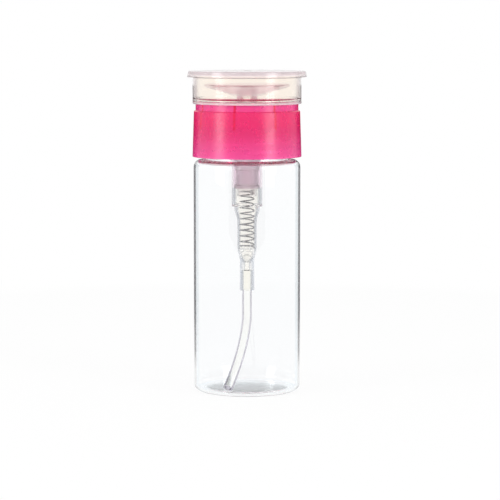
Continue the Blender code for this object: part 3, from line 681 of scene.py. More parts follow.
def matt(name):
    """A finish without any gloss."""
    made = blank(name)
    shaded(made.node_tree, Roughness=MATT_ROUGHNESS, Specular_IOR_Level=0)
    return made


def moulded(name, tint, roughness, shade, ripple=0.0, grain=0.0, **uniform):
    """A moulded plastic: faint clouding, uneven polish, slow ripples and a fine grain."""
    made = blank(name)
    tree = made.node_tree
    place = place_of(tree)
    deeper = [channel * shade for channel in tint]
    uneven = [roughness * share for share in POLISH_RANGE]
    slow = bumped(noise(place, *RIPPLES), RIPPLE_DEPTH, ripple)
    shaded(
        tree, Base_Color=ramp(noise(place, *CLOUDS), deeper, tint),
        Roughness=remapped(noise(place, *POLISH), *PATTERN_RANGE, *uneven),
        Normal=bumped(noise(place, *GRAIN), GRAIN_DEPTH, grain, Normal=slow), **uniform,
    )
    return made


def see_through(name, tint, roughness, ior, shade=0.99, ripple=0.03, grain=0.03):
    """A moulded plastic that lets the light through."""
    return moulded(name, tint, roughness, shade, ripple, grain, Transmission_Weight=1, IOR=ior)


def clear_plastic(finishes, sizes):
    """Clear glossy plastic of the bottle, with painted shade at the edges of its wall and in its heel, and
    a bluish painted shade on the inside of its wall, for the dark surroundings that the real wall shows
    there.
    """
    made = see_through(
        "clear bottle plastic", finishes.bottle, roughness=0.012, ior=1.5, shade=0.995, grain=0
    )
    tree = made.node_tree
    dark = finishes.bottle_edge
    wall = sizes.wall
    fillet = sizes.heel_fillet
    radius = span("bottle")[0]
    straight = sizes.shoulder_height - sizes.shoulder_fillet
    height = height_of(tree)
    away = distance_out(tree)
    # Painted shade: the masks below lay the dark edge colour on the wall's edges, its sole and its heel,
    # and the bluish one on the inside of its wall.
    above = remapped(height, 3 * fillet, 7 * fillet, 0.35, 1)
    below = remapped(height, straight + wall, straight + 2 * wall, 1, 0)
    rounded = remapped(away, radius - fillet, radius - 0.9 * fillet, 0, 1)
    low = remapped(height, 0.15 * fillet, 0.35 * fillet, 1, 0)
    sole = product(edge_shade_share(tree, *BOTTLE_SOLE), remapped(height, 0, 0.6 * fillet, 1, 0))
    edge = product(edge_shade_share(tree, *BOTTLE_EDGE), product(above, below))
    bend = product(edge_shade_share(tree, *BOTTLE_HEEL), remapped(height, 0.5 * fillet, 1.2 * fillet, 1, 0))
    heel = product(edge_shade_share(tree, *BOTTLE_HEEL), product(rounded, low))
    inner = mixed(product(edge_shade_share(tree, *BOTTLE_BORE), below), base_of(tree), finishes.bottle_bore)
    outer = base_of(tree)
    for share in (sole, edge, bend):
        outer = mixed(share, outer, dark)
    either = mixed(remapped(away, radius - wall, radius, 0, 1), inner, outer)
    shaded(tree, Base_Color=mixed(heel, either, dark))
    return made


def rib_share(tree, sizes, radius):
    """A share that is 1 on the ribs' lines round the collar."""
    parts = add_node(tree, "SeparateXYZ", place_of(tree)).outputs
    turn = maths("SUBTRACT", maths("ARCTAN2", parts["Y"], parts["X"]), sizes.rib_angle)
    half = sizes.rib_width / 2 / radius
    return remapped(maths("PINGPONG", turn, math.pi / sizes.rib_count), 0.6 * half, 1.4 * half, 1, 0)


def pink_plastic(finishes, sizes, levels, reach):
    """Translucent pink plastic with a soft gloss, deeper at its ribs, with painted light that makes it
    paler in its ring and its skirt, and paler still on the skirt's inner side.
    """
    made = moulded(
        "pink collar plastic", finishes.collar, roughness=0.28, shade=0.985, ripple=0.02,
        grain=0.02, IOR=1.49,
    )
    tree = made.node_tree
    foot, deck_foot, deck_top, ledge = levels
    height = height_of(tree)
    over = remapped(height, deck_foot, deck_top, 0, 1)
    under = remapped(height, deck_foot, deck_top, 1, 0)
    inside = product(remapped(distance_out(tree), *reach, 1, 0), under)
    # Painted light: the ring above the ledge and the skirt towards the foot get the paler pink, and the
    # skirt's inner side a paler one still.
    tinted(remapped(height, ledge, 1.002 * ledge, 0, 1), finishes.collar_skirt)
    tinted(product(rib_share(tree, sizes, reach[0]), over), finishes.collar_rib)
    tinted(remapped(height, foot, deck_top, 1, 0), finishes.collar_skirt)
    tinted(inside, finishes.collar_inside)
    shaded(tree, Transmission_Weight=remapped(inside, 0, 1, COLLAR_CLEARNESS, 1))
    return made


def cap_plastic(finishes, levels):
    """See-through cap plastic that turns milky at its foot and in its plate, between four levels."""
    made = moulded(
        "clear cap plastic", finishes.cap, roughness=0.1, shade=0.985, ripple=0.03, grain=0.03, IOR=1.49
    )
    tree = made.node_tree
    foot, foot_top, flange_foot, ceiling = levels
    height = height_of(tree)
    low = remapped(height, foot, foot_top, 1, 0)
    high = remapped(height, flange_foot, ceiling, 0, 1)
    gloss = remapped(height, 0.998 * flange_foot, 0.999 * flange_foot, SKIRT_GLOSS, 1)
    # Painted shade at the cap's edges, where its walls are seen along their surface.
    tinted(edge_shade_share(tree, *CAP_EDGE), finishes.cap_edge)
    tinted(low, finishes.cap_foot)
    tinted(high, finishes.flange)
    thin = product(
        remapped(low, 0, 1, 1, CAP_FOOT_CLEARNESS), remapped(high, 0, 1, 1, FLANGE_CLEARNESS)
    )
    shaded(tree, Transmission_Weight=thin, Specular_Tint=gloss)
    return made


def dish_plastic(finishes, rim_foot, rim_top):
    """Milky plastic of the press dish, with a faint painted pink for the collar's light from below, deeper
    in its rim.
    """
    made = see_through("milky dish plastic", finishes.dish, roughness=0.5, ior=1.03)
    tinted(remapped(height_of(made.node_tree), rim_foot, rim_top, 0, 1), finishes.dish_rim)
    return made


def pump_plastic(finishes, tube_stop, socket_top, piston_foot):
    """Milky see-through plastic of the pump's housing, with painted shade at the edges of its walls and in
    the socket, and deeper round the piston.
    """
    made = see_through("milky pump plastic", finishes.pump, roughness=0.08, ior=1.3, grain=0.02)
    tree = made.node_tree
    height = height_of(tree)
    low = remapped(height, socket_top, 1.05 * socket_top, 1, 0)
    # Painted shade at the housing's edges and in the socket.
    tinted(edge_shade_share(tree, *PUMP_EDGE), finishes.pump_edge)
    tinted(product(edge_shade_share(tree, *SOCKET_EDGE), low), finishes.socket)
    tinted(remapped(height, piston_foot, 1.01 * piston_foot, 0, 1), finishes.barrel)
    tinted(maths("COMPARE", height, tube_stop, LEDGE_MARGIN), finishes.pump)
    return made


def stem_plastic(finishes):
    """Clouded plastic that the stem, its guide bush and its insert share."""
    name = "clouded stem plastic"
    if name in bpy.data.materials:
        return bpy.data.materials[name]
    made = see_through(name, finishes.stem, roughness=0.4, ior=1.1)
    tree = made.node_tree
    height = height_of(tree)
    bush_top = span("guide_bush")[2]
    dish_foot = span("press_dish")[1]
    free = remapped(height, dish_foot, 1.002 * dish_foot, 1, 0)
    upper = product(remapped(height, bush_top, 1.005 * bush_top, 0, 1), free)
    # Painted shade at the edges of the walls: the pump's edge colour below the bush top and the stem's own
    # above it.
    low = mixed(edge_shade_share(tree, *STEM_FOOT_EDGE), base_of(tree), finishes.pump_edge)
    high = mixed(edge_shade_share(tree, *STEM_EDGE), base_of(tree), finishes.stem_edge)
    shaded(tree, Base_Color=mixed(upper, low, high))
    return made


def tube_plastic(finishes, socket_foot):
    """Hazy soft plastic of the dip tube, plain inside the socket."""
    made = see_through(
        "hazy tube plastic", finishes.tube, roughness=0.12, ior=1.12, shade=0.996, grain=0.02
    )
    tree = made.node_tree
    free = remapped(height_of(tree), socket_foot, 1.01 * socket_foot, 1, 0)
    # Painted shade at the tube's edges, outside the socket.
    tinted(product(edge_shade_share(tree, *TUBE_EDGE), free), finishes.tube_edge)
    return made


def turned_piece(name, corners, steps, usual=0, closed=True):
    """A new object with a turned shape, and with a usual fillet at its corners."""
    return linked(name, mesh_of(turned(corners, steps, closed, usual), name))


def crowned(radius, height, crown, steps):
    """Corners from a crowned panel's edge to the axis, without the edge itself."""
    shares = [1 - step / steps for step in range(1, steps + 1)]
    return [(radius * share, height + crown * (1 - share**2), 0) for share in shares]


class AddBottle(bpy.types.Operator):
    """Adds the clear bottle with its threaded neck"""

    bl_idname = "pump_bottle.add_bottle"
    bl_label = "Bottle"

    def execute(self, context):
        settings = context.scene.pump_bottle
        sizes = settings.bottle
        wall = sizes.wall
        lip = sizes.lip_fillet
        shoulder = sizes.shoulder_height
        thread = settings.thread
        radius, _, neck_top = span("bottle")
        bore = radius - wall
        neck_radius = radius - sizes.shoulder_width
        neck_bore = neck_radius - sizes.neck_wall
        slope_radius = radius - sizes.heel_fillet - sizes.standing_width
        panel_radius = slope_radius - sizes.panel_slope
        inside_lift = sizes.panel_lift + sizes.base
        panel = crowned(panel_radius, sizes.panel_lift, sizes.panel_crown, CROWN_STEPS)
        gate_foot = panel[-1][1] - sizes.gate_depth
        outside = [
            (neck_radius, neck_top), (neck_radius, shoulder),
            (radius, shoulder, sizes.shoulder_fillet), (radius, 0, sizes.heel_fillet),
            (slope_radius, 0), (panel_radius, sizes.panel_lift), *panel[:-1],
            (sizes.gate_radius, panel[-1][1], 0), (sizes.gate_radius, gate_foot, 0),
            (0, gate_foot, 0),
        ]
        inside = [
            *reversed(crowned(panel_radius, inside_lift, sizes.panel_crown, CROWN_STEPS)),
            (panel_radius, inside_lift), (slope_radius, sizes.base),
            (bore, sizes.base, sizes.heel_fillet - wall),
            (bore, shoulder - wall, sizes.shoulder_fillet - wall), (neck_bore, shoulder - wall),
            (neck_bore, neck_top),
        ]
        piece = turned_piece("clear_bottle", inside + outside, LARGE_STEPS, lip, closed=False)
        top = neck_top - thread.start
        bead = thread_bead(neck_radius, top, thread.neck_bead, thread.neck_turns, thread.pitch)
        combine(piece, bead, "UNION")
        stand_for(piece, "bottle", clear_plastic(settings.finishes, sizes))
        return {"FINISHED"}


class AddCollar(bpy.types.Operator):
    """Adds the pink screw collar with its ribs and its thread"""

    bl_idname = "pump_bottle.add_collar"
    bl_label = "Screw collar"

    def execute(self, context):
        settings = context.scene.pump_bottle
        sizes = settings.collar
        fillet = sizes.edge_fillet
        small = sizes.foot_fillet
        thread = settings.thread
        foot_radius, foot, ring_top = span("collar")
        bottle_radius, _, neck_top = span("bottle")
        skirt_bore = bottle_radius - settings.bottle.shoulder_width + sizes.skirt_gap
        skirt_radius = skirt_bore + sizes.skirt_wall
        skirt_foot = foot + sizes.skirt_recess
        top_radius = foot_radius - sizes.draft
        ring_radius = top_radius - sizes.ledge_width
        well_radius = ring_radius - sizes.ring_wall
        hole = span("guide_bush")[0] + settings.pump.gap
        ledge = ring_top - sizes.ring_height
        deck_top = ledge - sizes.well_depth
        deck_foot = deck_top - sizes.deck
        bore = foot_radius - sizes.wall
        bore_top = bore - sizes.draft * (deck_foot - foot) / (ledge - foot)
        corners = [
            (ring_radius, ring_top, fillet), (ring_radius, ledge), (top_radius, ledge, fillet),
            (foot_radius, foot), (bore, foot), (bore_top, deck_foot, fillet),
            (skirt_radius, deck_foot, fillet), (skirt_radius, skirt_foot), (skirt_bore, skirt_foot),
            (skirt_bore, deck_foot), (hole, deck_foot), (hole, deck_top),
            (well_radius, deck_top, fillet), (well_radius, ring_top),
        ]
        piece = turned_piece("pink_collar", corners, LARGE_STEPS, small)
        root = settings.pump.gap
        size = (sizes.rib_depth + root, sizes.rib_width, sizes.rib_height + root)
        middle = (well_radius + root - size[0] / 2, 0, deck_top - root + size[2] / 2)
        turns = [sizes.rib_angle + math.tau * index / sizes.rib_count for index in range(sizes.rib_count)]
        combine(piece, blocks(size, middle, turns), "UNION")
        reach = thread.neck_bead + thread.collar_bead + settings.pump.gap
        offset = math.sqrt(reach**2 - sizes.skirt_gap**2)
        top = neck_top - thread.start - offset
        bead = thread_bead(skirt_bore, top, thread.collar_bead, thread.collar_turns, thread.pitch)
        combine(piece, bead, "UNION")
        levels = (foot, deck_foot, deck_top, ledge)
        reach = (foot_radius - sizes.wall, foot_radius - 0.8 * sizes.wall)
        stand_for(piece, "collar", pink_plastic(settings.finishes, sizes, levels, reach))
        return {"FINISHED"}


class AddCap(bpy.types.Operator):
    """Adds the see-through cap with its flange and its inner bead"""

    bl_idname = "pump_bottle.add_cap"
    bl_label = "Cap"

    def execute(self, context):
        settings = context.scene.pump_bottle
        sizes = settings.cap
        fillet = sizes.fillet
        flange_radius, foot, top = span("dust_cap")
        skirt_radius = flange_radius - sizes.flange_width
        bore = skirt_radius - sizes.wall
        flange_foot = top - sizes.flange_height
        ceiling = top - sizes.plate
        stop_foot = span("collar")[2] + settings.pump.gap
        stop_top = stop_foot + sizes.stop_height
        dimple = top - sizes.gate_depth
        corners = [
            (0, dimple, 0), (sizes.gate_radius, dimple, 0),
            (sizes.gate_radius + sizes.gate_depth, top, 0),
            (flange_radius - sizes.flange_draft, top), (flange_radius, flange_foot, fillet / 2),
            (skirt_radius, flange_foot), (skirt_radius, foot), (bore, foot, fillet / 2),
            (bore, stop_foot, 0), (bore - sizes.stop_depth, stop_foot, sizes.stop_depth / 2),
            (bore - sizes.stop_depth, stop_top, sizes.stop_depth / 2),
            (bore, stop_top + sizes.stop_depth, 0), (bore, ceiling), (0, ceiling, 0),
        ]
        piece = turned_piece("clear_cap", corners, LARGE_STEPS, fillet, closed=False)
        levels = (foot, foot + 2 * sizes.wall, flange_foot, ceiling)
        stand_for(piece, "dust_cap", cap_plastic(settings.finishes, levels))
        return {"FINISHED"}


class AddDish(bpy.types.Operator):
    """Adds the press dish: a shallow cone with a thin rim on a boss"""

    bl_idname = "pump_bottle.add_dish"
    bl_label = "Press dish"

    def execute(self, context):
        settings = context.scene.pump_bottle
        sizes = settings.dish
        fillet = sizes.edge_fillet
        radius, foot, top = span("press_dish")
        gap = settings.pump.gap
        bore = span("stem")[0] + gap
        hub_radius = bore + sizes.hub_wall
        floor = foot + sizes.floor
        boss_top = floor + sizes.boss_rise
        boss_ceiling = boss_top - sizes.lip
        lip_bore = span("outlet_insert")[0] + gap
        corners = [
            (radius, top), (radius, top - sizes.rim), (hub_radius, foot), (bore, foot),
            (bore, boss_ceiling, 0), (lip_bore, boss_ceiling, 0), (lip_bore, boss_top, fillet / 2),
            (hub_radius, boss_top, sizes.lip), (hub_radius, floor), (radius - sizes.rim, top),
        ]
        piece = turned_piece("pad_dish", corners, LARGE_STEPS, fillet)
        stand_for(piece, "press_dish", dish_plastic(settings.finishes, top - sizes.rim, top))
        return {"FINISHED"}


class AddInsert(bpy.types.Operator):
    """Adds the slotted insert that closes the stem's head"""

    bl_idname = "pump_bottle.add_insert"
    bl_label = "Slotted insert"

    def execute(self, context):
        settings = context.scene.pump_bottle
        sizes = settings.dish
        radius, foot, top = span("outlet_insert")
        cage_bore = radius - sizes.insert_wall
        ceiling = top - sizes.lip
        corners = [
            (0, top, 0), (radius, top, sizes.edge_fillet), (radius, foot, sizes.edge_fillet),
            (cage_bore, foot, 0), (cage_bore, ceiling, 0), (0, ceiling, 0),
        ]
        piece = turned_piece("slotted_insert", corners, SMALL_STEPS, closed=False)
        size = (sizes.slot_length, sizes.slot_width, 3 * sizes.lip)
        middle = (sizes.slot_inset + sizes.slot_length / 2, 0, ceiling + sizes.lip / 2)
        turns = [math.tau * (index + 0.5) / sizes.slot_count for index in range(sizes.slot_count)]
        combine(piece, blocks(size, middle, turns), "DIFFERENCE")
        stand_for(piece, "outlet_insert", stem_plastic(settings.finishes))
        return {"FINISHED"}


class AddStem(bpy.types.Operator):
    """Adds the hollow stem with its spring cup"""

    bl_idname = "pump_bottle.add_stem"
    bl_label = "Stem"

    def execute(self, context):
        settings = context.scene.pump_bottle
        sizes = settings.stem
        fillet = settings.pump.edge_fillet
        radius, foot, top = span("stem")
        sleeve_foot = span("guide_bush")[1]
        cup_ceiling = foot + sizes.pocket_depth
        cup_top = cup_ceiling + sizes.web
        seat_top = top - sizes.seat_height
        seat_foot = seat_top - sizes.seat
        socket = sizes.bore + sizes.socket_step
        socket_floor = span("outlet_insert")[1] - settings.pump.gap
        corners = [
            (radius, top), (radius, sleeve_foot), (sizes.neck_radius, sleeve_foot),
            (sizes.neck_radius, cup_top), (sizes.cup_radius, cup_top), (sizes.cup_radius, foot),
            (sizes.pocket_radius, foot), (sizes.pocket_radius, cup_ceiling),
            (sizes.neck_bore, cup_ceiling), (sizes.neck_bore, sleeve_foot + sizes.web, 0),
            (sizes.bore, sleeve_foot + sizes.web + sizes.bore_taper, 0), (sizes.bore, seat_foot),
            (sizes.orifice, seat_foot), (sizes.orifice, seat_top), (sizes.bore, seat_top),
            (sizes.bore, socket_floor, 0), (socket, socket_floor, 0), (socket, top),
        ]
        finish = stem_plastic(settings.finishes)
        stand_for(turned_piece("hollow_stem", corners, SMALL_STEPS, fillet), "stem", finish)
        return {"FINISHED"}


class AddSeals(bpy.types.Operator):
    """Adds the piston seal on the stem and the gasket on the neck"""

    bl_idname = "pump_bottle.add_seals"
    bl_label = "Piston seal and gasket"

    def execute(self, context):
        settings = context.scene.pump_bottle
        sizes = settings.pump
        stem = settings.stem
        fillet = sizes.edge_fillet
        radius, foot, top = span("piston_seal")
        waist = radius - sizes.seal_waist
        bore = stem.neck_radius + sizes.gap
        counterbore = stem.cup_radius + sizes.gap
        step = span("stem")[1] + stem.pocket_depth + stem.web + sizes.gap
        corners = [
            (radius, top), (radius, top - sizes.seal_lip),
            (waist, top - sizes.seal_lip - sizes.seal_waist),
            (waist, foot + sizes.seal_lip + sizes.seal_waist), (radius, foot + sizes.seal_lip),
            (radius, foot), (counterbore, foot, 0), (counterbore, step, 0), (bore, step, 0),
            (bore, top),
        ]
        # The seal's faint pink is painted light from the collar; the plastic itself is white.
        tint = settings.finishes.seal
        finish = see_through(
            "soft seal plastic", tint, roughness=0.5, ior=1.2, shade=0.97, ripple=0, grain=0.08
        )
        stand_for(turned_piece("soft_piston", corners, SMALL_STEPS, fillet), "piston_seal", finish)
        radius, foot, top = span("neck_gasket")
        corners = [
            (radius, top), (radius, foot), (radius - sizes.gasket_width, foot),
            (radius - sizes.gasket_width, top),
        ]
        stand_for(turned_piece("flat_gasket", corners, LARGE_STEPS, fillet), "neck_gasket", finish)
        return {"FINISHED"}


class AddBush(bpy.types.Operator):
    """Adds the bush that guides the stem"""

    bl_idname = "pump_bottle.add_bush"
    bl_label = "Guide bush"

    def execute(self, context):
        settings = context.scene.pump_bottle
        sizes = settings.pump
        fillet = sizes.edge_fillet
        radius, foot, top = span("guide_bush")
        disc_foot = top - sizes.bush_disc
        spigot = radius - sizes.throat_wall - sizes.gap
        spigot_foot = disc_foot - sizes.bush_spigot
        sleeve_bore = span("stem")[0] + sizes.gap
        sleeve = sleeve_bore + sizes.sleeve_wall
        corners = [
            (radius, top, 2 * fillet), (radius, disc_foot), (spigot, disc_foot, 0),
            (spigot, spigot_foot), (sleeve, spigot_foot - sizes.bush_taper), (sleeve, foot),
            (sleeve_bore, foot), (sleeve_bore, top),
        ]
        finish = stem_plastic(settings.finishes)
        stand_for(turned_piece("stem_guide", corners, SMALL_STEPS, fillet), "guide_bush", finish)
        return {"FINISHED"}


class AddHousing(bpy.types.Operator):
    """Adds the pump's housing: flange, throat, barrel, spring tube, valve nose and socket"""

    bl_idname = "pump_bottle.add_housing"
    bl_label = "Pump housing"

    def execute(self, context):
        settings = context.scene.pump_bottle
        sizes = settings.pump
        fillet = sizes.edge_fillet
        flange_radius, socket_foot, throat_top = span("pump_housing")
        throat, _, _ = span("guide_bush")
        throat_bore = throat - sizes.throat_wall
        deck_top = span("collar")[2] - settings.collar.ring_height - settings.collar.well_depth
        snap_foot = deck_top + sizes.gap
        flange_foot = span("neck_gasket")[2] + sizes.gap
        flange_top = flange_foot + sizes.flange
        flare_foot = flange_foot - sizes.flare_depth
        flare_top = flare_foot + sizes.flare_length
        barrel_bore = span("piston_seal")[0] + sizes.gap
        barrel = barrel_bore + sizes.barrel_wall
        barrel_foot = flange_foot - sizes.barrel_length
        floor = barrel_foot + sizes.barrel_floor
        waist_bore = settings.stem.cup_radius + sizes.waist_gap
        waist = waist_bore + sizes.waist_wall
        waist_foot = span("stem")[1] - sizes.stroke - sizes.gap
        waist_shoulder = waist_foot + sizes.waist_shift
        spring_bore = settings.spring.radius + settings.spring.wire / 2 + sizes.gap
        spring_tube = spring_bore + sizes.tube_wall
        ledge = span("return_spring")[1] - sizes.gap
        ball_radius = span("inlet_ball")[0]
        chamber = ball_radius + sizes.ball_play
        lip_bore = ball_radius - sizes.lip_bite
        ceiling = ledge - sizes.lip
        seat_top = ceiling - sizes.seat_rise
        seat_foot = seat_top - sizes.seat_depth
        tube_stop = socket_foot + sizes.socket_depth
        socket_bore = settings.tube.radius + sizes.gap
        socket = socket_bore + sizes.socket_wall
        corners = [
            (throat, throat_top), (throat, snap_foot + sizes.snap_height),
            (throat + sizes.gap + sizes.snap_lip, snap_foot), (throat, snap_foot, 0),
            (throat, flange_top), (flange_radius, flange_top, 2 * fillet),
            (flange_radius, flange_foot), (throat, flange_foot), (throat, flare_top, 4 * fillet),
            (barrel, flare_foot, 4 * fillet), (barrel, barrel_foot), (waist, barrel_foot),
            (waist, waist_shoulder, 4 * fillet),
            (spring_tube, waist_shoulder - sizes.waist_taper, 4 * fillet),
            (spring_tube, ledge, 4 * fillet), (socket, ledge - sizes.nose_taper, 4 * fillet),
            (socket + sizes.socket_flare, socket_foot), (socket_bore, socket_foot),
            (socket_bore, tube_stop, 0), (sizes.channel, tube_stop), (sizes.channel, seat_foot, 0),
            (chamber, seat_top), (chamber, ceiling), (lip_bore, ceiling), (lip_bore, ledge),
            (spring_bore, ledge), (spring_bore, waist_foot - sizes.waist_taper, 4 * fillet),
            (waist_bore, waist_foot, 4 * fillet), (waist_bore, floor), (barrel_bore, floor),
            (barrel_bore, flare_foot - sizes.gap, 4 * fillet),
            (throat_bore, flare_top - sizes.gap, 4 * fillet), (throat_bore, throat_top),
        ]
        socket_top = ledge - sizes.nose_taper
        finish = pump_plastic(settings.finishes, tube_stop, socket_top, span("piston_seal")[1])
        stand_for(turned_piece("pump_barrel", corners, SMALL_STEPS, fillet), "pump_housing", finish)
        return {"FINISHED"}


class AddSpring(bpy.types.Operator):
    """Adds the wire spring; in the real pump it shortens as the dish is pressed"""

    bl_idname = "pump_bottle.add_spring"
    bl_label = "Return spring"

    def execute(self, context):
        settings = context.scene.pump_bottle
        sizes = settings.spring
        _, foot, top = span("return_spring")
        rise = top - foot - sizes.wire
        open_pitch = (rise - 2 * sizes.end_turns * sizes.end_pitch) / sizes.open_turns
        ends = (sizes.end_turns, sizes.end_pitch)
        stretches = [ends, (sizes.open_turns, open_pitch), ends]
        shape = coil(sizes.radius, foot + sizes.wire / 2, sizes.wire / 2, WIRE_SEGMENTS, stretches)
        piece = linked("wound_spring", mesh_of(shape, "wound_spring"))
        tint = settings.finishes.wire
        steel = moulded(
            "spring wire steel", tint, roughness=0.28, shade=0.75, grain=0.12, Metallic=1
        )
        stand_for(piece, "return_spring", steel)
        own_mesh(piece)
        return {"FINISHED"}


class AddTube(bpy.types.Operator):
    """Adds the dip tube that bends out to the bottle's heel"""

    bl_idname = "pump_bottle.add_tube"
    bl_label = "Dip tube"

    def route(self, settings):
        """The tube's centreline: straight down from its stop, then bending outwards."""
        sizes = settings.tube
        _, socket_foot, _ = span("pump_housing")
        start = span("dip_tube")[2]
        reach = span("bottle")[0] - settings.bottle.wall - sizes.tip_inset
        floor = settings.bottle.base + settings.bottle.panel_lift
        drop = sizes.bend_start * (socket_foot - floor)
        lean = math.atan(reach * sizes.bend_power / drop)
        tip = floor + settings.pump.gap + sizes.radius * math.sin(lean)
        bend_top = tip + (socket_foot - tip) * sizes.bend_start
        points = [Vector((0, 0, start))]
        for step in range(sizes.steps + 1):
            share = step / sizes.steps
            out = reach * share**sizes.bend_power
            height = bend_top + (tip - bend_top) * share
            side = (out * math.cos(sizes.direction), out * math.sin(sizes.direction))
            points.append(Vector((*side, height)))
        return points

    def execute(self, context):
        settings = context.scene.pump_bottle
        sizes = settings.tube
        route = self.route(settings)
        shape = bmesh.new()
        for radius in (sizes.radius, sizes.radius - sizes.wall):
            sweep(shape, route, radius, TUBE_SEGMENTS)
        middle = (route[0].z + route[-1].z) / 2
        ends = [edge for edge in shape.edges if edge.is_boundary]
        for upper in (True, False):
            end = [edge for edge in ends if (edge.verts[0].co.z > middle) == upper]
            bmesh.ops.bridge_loops(shape, edges=end)
        bmesh.ops.recalc_face_normals(shape, faces=shape.faces)
        piece = linked("bent_dip_tube", mesh_of(shape, "bent_dip_tube"))
        stand_for(piece, "dip_tube", tube_plastic(settings.finishes, span("pump_housing")[1]))
        return {"FINISHED"}


class AddBalls(bpy.types.Operator):
    """Adds the two valve balls"""

    bl_idname = "pump_bottle.add_balls"
    bl_label = "Valve balls"

    def execute(self, context):
        settings = context.scene.pump_bottle
        for name, node, ior in (
            ("lower_valve_ball", "inlet_ball", 1.3), ("upper_valve_ball", "outlet_ball", 1.05),
        ):
            tint = settings.finishes.ball
            finish = see_through(f"{node} glass", tint, roughness=0.4, ior=ior, ripple=0, grain=0.01)
            _, foot, top = span(node)
            shape = bmesh.new()
            bmesh.ops.create_uvsphere(
                shape, u_segments=BALL_SEGMENTS, v_segments=BALL_SEGMENTS // 2, radius=(top - foot) / 2,
                matrix=Matrix.Translation((0, 0, (foot + top) / 2)),
            )
            stand_for(linked(name, mesh_of(shape, name)), node, finish)
        return {"FINISHED"}


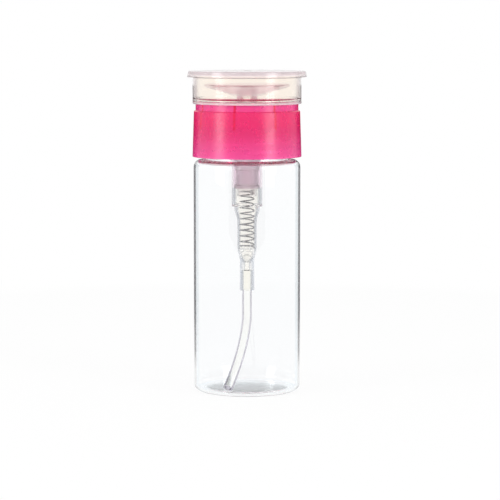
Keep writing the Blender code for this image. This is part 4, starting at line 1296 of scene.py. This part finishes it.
class AddStage(bpy.types.Operator):
    """Adds the pale floor, the dark cards, the lamps, the surrounding light and the camera"""

    bl_idname = "pump_bottle.add_stage"
    bl_label = "Studio"

    def add_floor(self, studio):
        """A round pale floor, which the camera sees as white round the bottle."""
        shape = bmesh.new()
        bmesh.ops.create_circle(shape, segments=LARGE_STEPS, radius=studio.floor_radius, cap_ends=True)
        floor = linked("studio_floor", mesh_of(shape, "studio_floor"))
        finish = matt("pale floor")
        tree = finish.node_tree
        away = distance_out(tree)
        radius = span("bottle")[0]
        shade = [radius * share for share in SHADE_EDGE]
        near = remapped(away, *shade, studio.shade_glow, studio.floor_glow)
        far = remapped(away, radius, studio.glow_end, 0, 1)
        share = product(maths("MAXIMUM", near, far), self.seen_rays(tree))
        shaded(tree, Base_Color=ramp(noise(place_of(tree), *FLOOR_CLOUDS), *FLOOR_TONES))
        plain = tree.nodes["Principled BSDF"].outputs["BSDF"]
        white = add_node(tree, "Emission", Strength=1).outputs["Emission"]
        blend = add_node(tree, "MixShader", share, plain, white).outputs["Shader"]
        feed(tree.nodes["Material Output"].inputs["Surface"], blend)
        floor.data.materials.append(finish)

    def seen_rays(self, tree):
        """1 for rays that the camera, gloss or clear plastic sends out, and else 0."""
        rays = tree.nodes.new("ShaderNodeLightPath").outputs
        seen = maths("MAXIMUM", rays["Is Camera Ray"], rays["Is Glossy Ray"])
        return maths("MAXIMUM", seen, rays["Is Transmission Ray"])

    def add_card(self, finish, name, direction, distance, width, foot, top):
        """An upright card that shows only in gloss."""
        size = (width, width / CARD_THINNESS, top - foot)
        shape = blocks(size, (0, distance, (foot + top) / 2), [-direction])
        card = linked(name, mesh_of(shape, name))
        card.data.materials.append(finish)
        for kind in ("camera", "diffuse", "transmission", "volume_scatter", "shadow"):
            setattr(card, f"visible_{kind}", False)

    def add_cards(self, studio):
        """Grey cards with dark tops behind the bottle's sides, and a dark one on the camera's side."""
        grey = matt("grey card")
        share = remapped(height_of(grey.node_tree), 0, studio.card_fade, 0, 1)
        shaded(grey.node_tree, Base_Color=mixed(share, CARD_FOOT, CARD_GREY))
        dark = matt("dark card")
        shaded(dark.node_tree, Base_Color=CARD_DARK)
        place = (studio.side_card_distance, studio.side_card_width)
        for name, direction in (("left", -studio.side_card_angle), ("right", studio.side_card_angle)):
            self.add_card(grey, f"{name}_card", direction, *place, 0, studio.card_join)
            self.add_card(dark, f"{name}_top_card", direction, *place, studio.card_join, studio.card_top)
        place = (studio.front_card_distance, studio.front_card_width)
        self.add_card(dark, "front_card", math.pi, *place, 0, studio.front_card_top)

    def add_lamp(self, studio, name, direction):
        """A soft strip lamp at a direction from the camera's."""
        data = bpy.data.lights.new(name, "AREA")
        data.shape = "RECTANGLE"
        data.size = studio.lamp_width
        data.size_y = studio.lamp_height
        data.energy = studio.lamp_power
        lamp = linked(name, data)
        aim = Vector((0, 0, span("collar")[1]))
        out = Vector((math.sin(direction), -math.cos(direction), 0)) * studio.lamp_distance
        lamp.location = out + Vector((0, 0, studio.lamp_middle))
        lamp.rotation_euler = (aim - lamp.location).to_track_quat("-Z", "Y").to_euler()

    def add_surroundings(self, studio):
        """Soft light from all round, behind a white background."""
        world = bpy.data.worlds.new("soft surroundings")
        world.use_nodes = True
        tree = world.node_tree
        strength = add_node(tree, "MapRange", self.seen_rays(tree), 0, 1, studio.fill, 1)
        background = tree.nodes["Background"]
        feed(background.inputs["Color"], (1, 1, 1))
        feed(background.inputs["Strength"], strength.outputs["Result"])
        bpy.context.scene.world = world

    def add_camera(self, studio):
        """The camera at the photographed angle."""
        data = bpy.data.cameras.new("camera")
        data.lens = studio.lens
        data.shift_x = studio.camera_shift
        camera = linked("camera", data)
        camera.location = (0, -studio.camera_distance, studio.camera_height)
        camera.rotation_euler = (math.pi / 2 - studio.camera_pitch, 0, 0)
        bpy.context.scene.camera = camera

    def execute(self, context):
        studio = context.scene.pump_bottle.studio
        self.add_floor(studio)
        self.add_cards(studio)
        self.add_lamp(studio, "left_strip", studio.left_angle)
        self.add_lamp(studio, "right_strip", studio.right_angle)
        self.add_surroundings(studio)
        self.add_camera(studio)
        context.scene.view_settings.view_transform = "Standard"
        cycles = context.scene.cycles
        cycles.max_bounces = cycles.transmission_bounces = cycles.glossy_bounces = CLEAR_BOUNCES
        cycles.diffuse_bounces = DIFFUSE_BOUNCES
        cycles.sample_clamp_indirect = INDIRECT_CLAMP
        return {"FINISHED"}


OPERATORS = (
    AddBottle,
    AddCollar,
    AddCap,
    AddDish,
    AddInsert,
    AddStem,
    AddSeals,
    AddBush,
    AddHousing,
    AddSpring,
    AddTube,
    AddBalls,
    AddStage,
)


class PumpBottlePanel(bpy.types.Panel):
    """Lists the pieces and their settings"""

    bl_idname = "VIEW3D_PT_pump_bottle"
    bl_label = "Pump Bottle"
    bl_space_type = "VIEW_3D"
    bl_region_type = "UI"
    bl_category = "Pump Bottle"

    def draw(self, context):
        layout = self.layout
        for operator in OPERATORS:
            layout.operator(operator.bl_idname)
        settings = context.scene.pump_bottle
        for key in PumpBottleSettings.__annotations__:
            box = layout.box()
            box.label(text=settings.bl_rna.properties[key].name)
            sizes = getattr(settings, key)
            for size in type(sizes).__annotations__:
                box.prop(sizes, size)


CLASSES = (
    BottleSizes,
    ThreadSizes,
    CollarSizes,
    CapSizes,
    DishSizes,
    PumpSizes,
    StemSizes,
    SpringSizes,
    TubeSizes,
    Finishes,
    Studio,
    PumpBottleSettings,
    *OPERATORS,
    PumpBottlePanel,
)


def register():
    for made in CLASSES:
        bpy.utils.register_class(made)
    bpy.types.Scene.pump_bottle = bpy.props.PointerProperty(
        name="Pump bottle", description="Sizes, colours and studio", type=PumpBottleSettings
    )


def unregister():
    del bpy.types.Scene.pump_bottle
    for made in reversed(CLASSES):
        bpy.utils.unregister_class(made)


def main():
    """Builds everything."""
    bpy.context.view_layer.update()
    register()
    for operator in OPERATORS:
        group, name = operator.bl_idname.split(".")
        getattr(getattr(bpy.ops, group), name)()


if __name__ == "__main__":
    main()
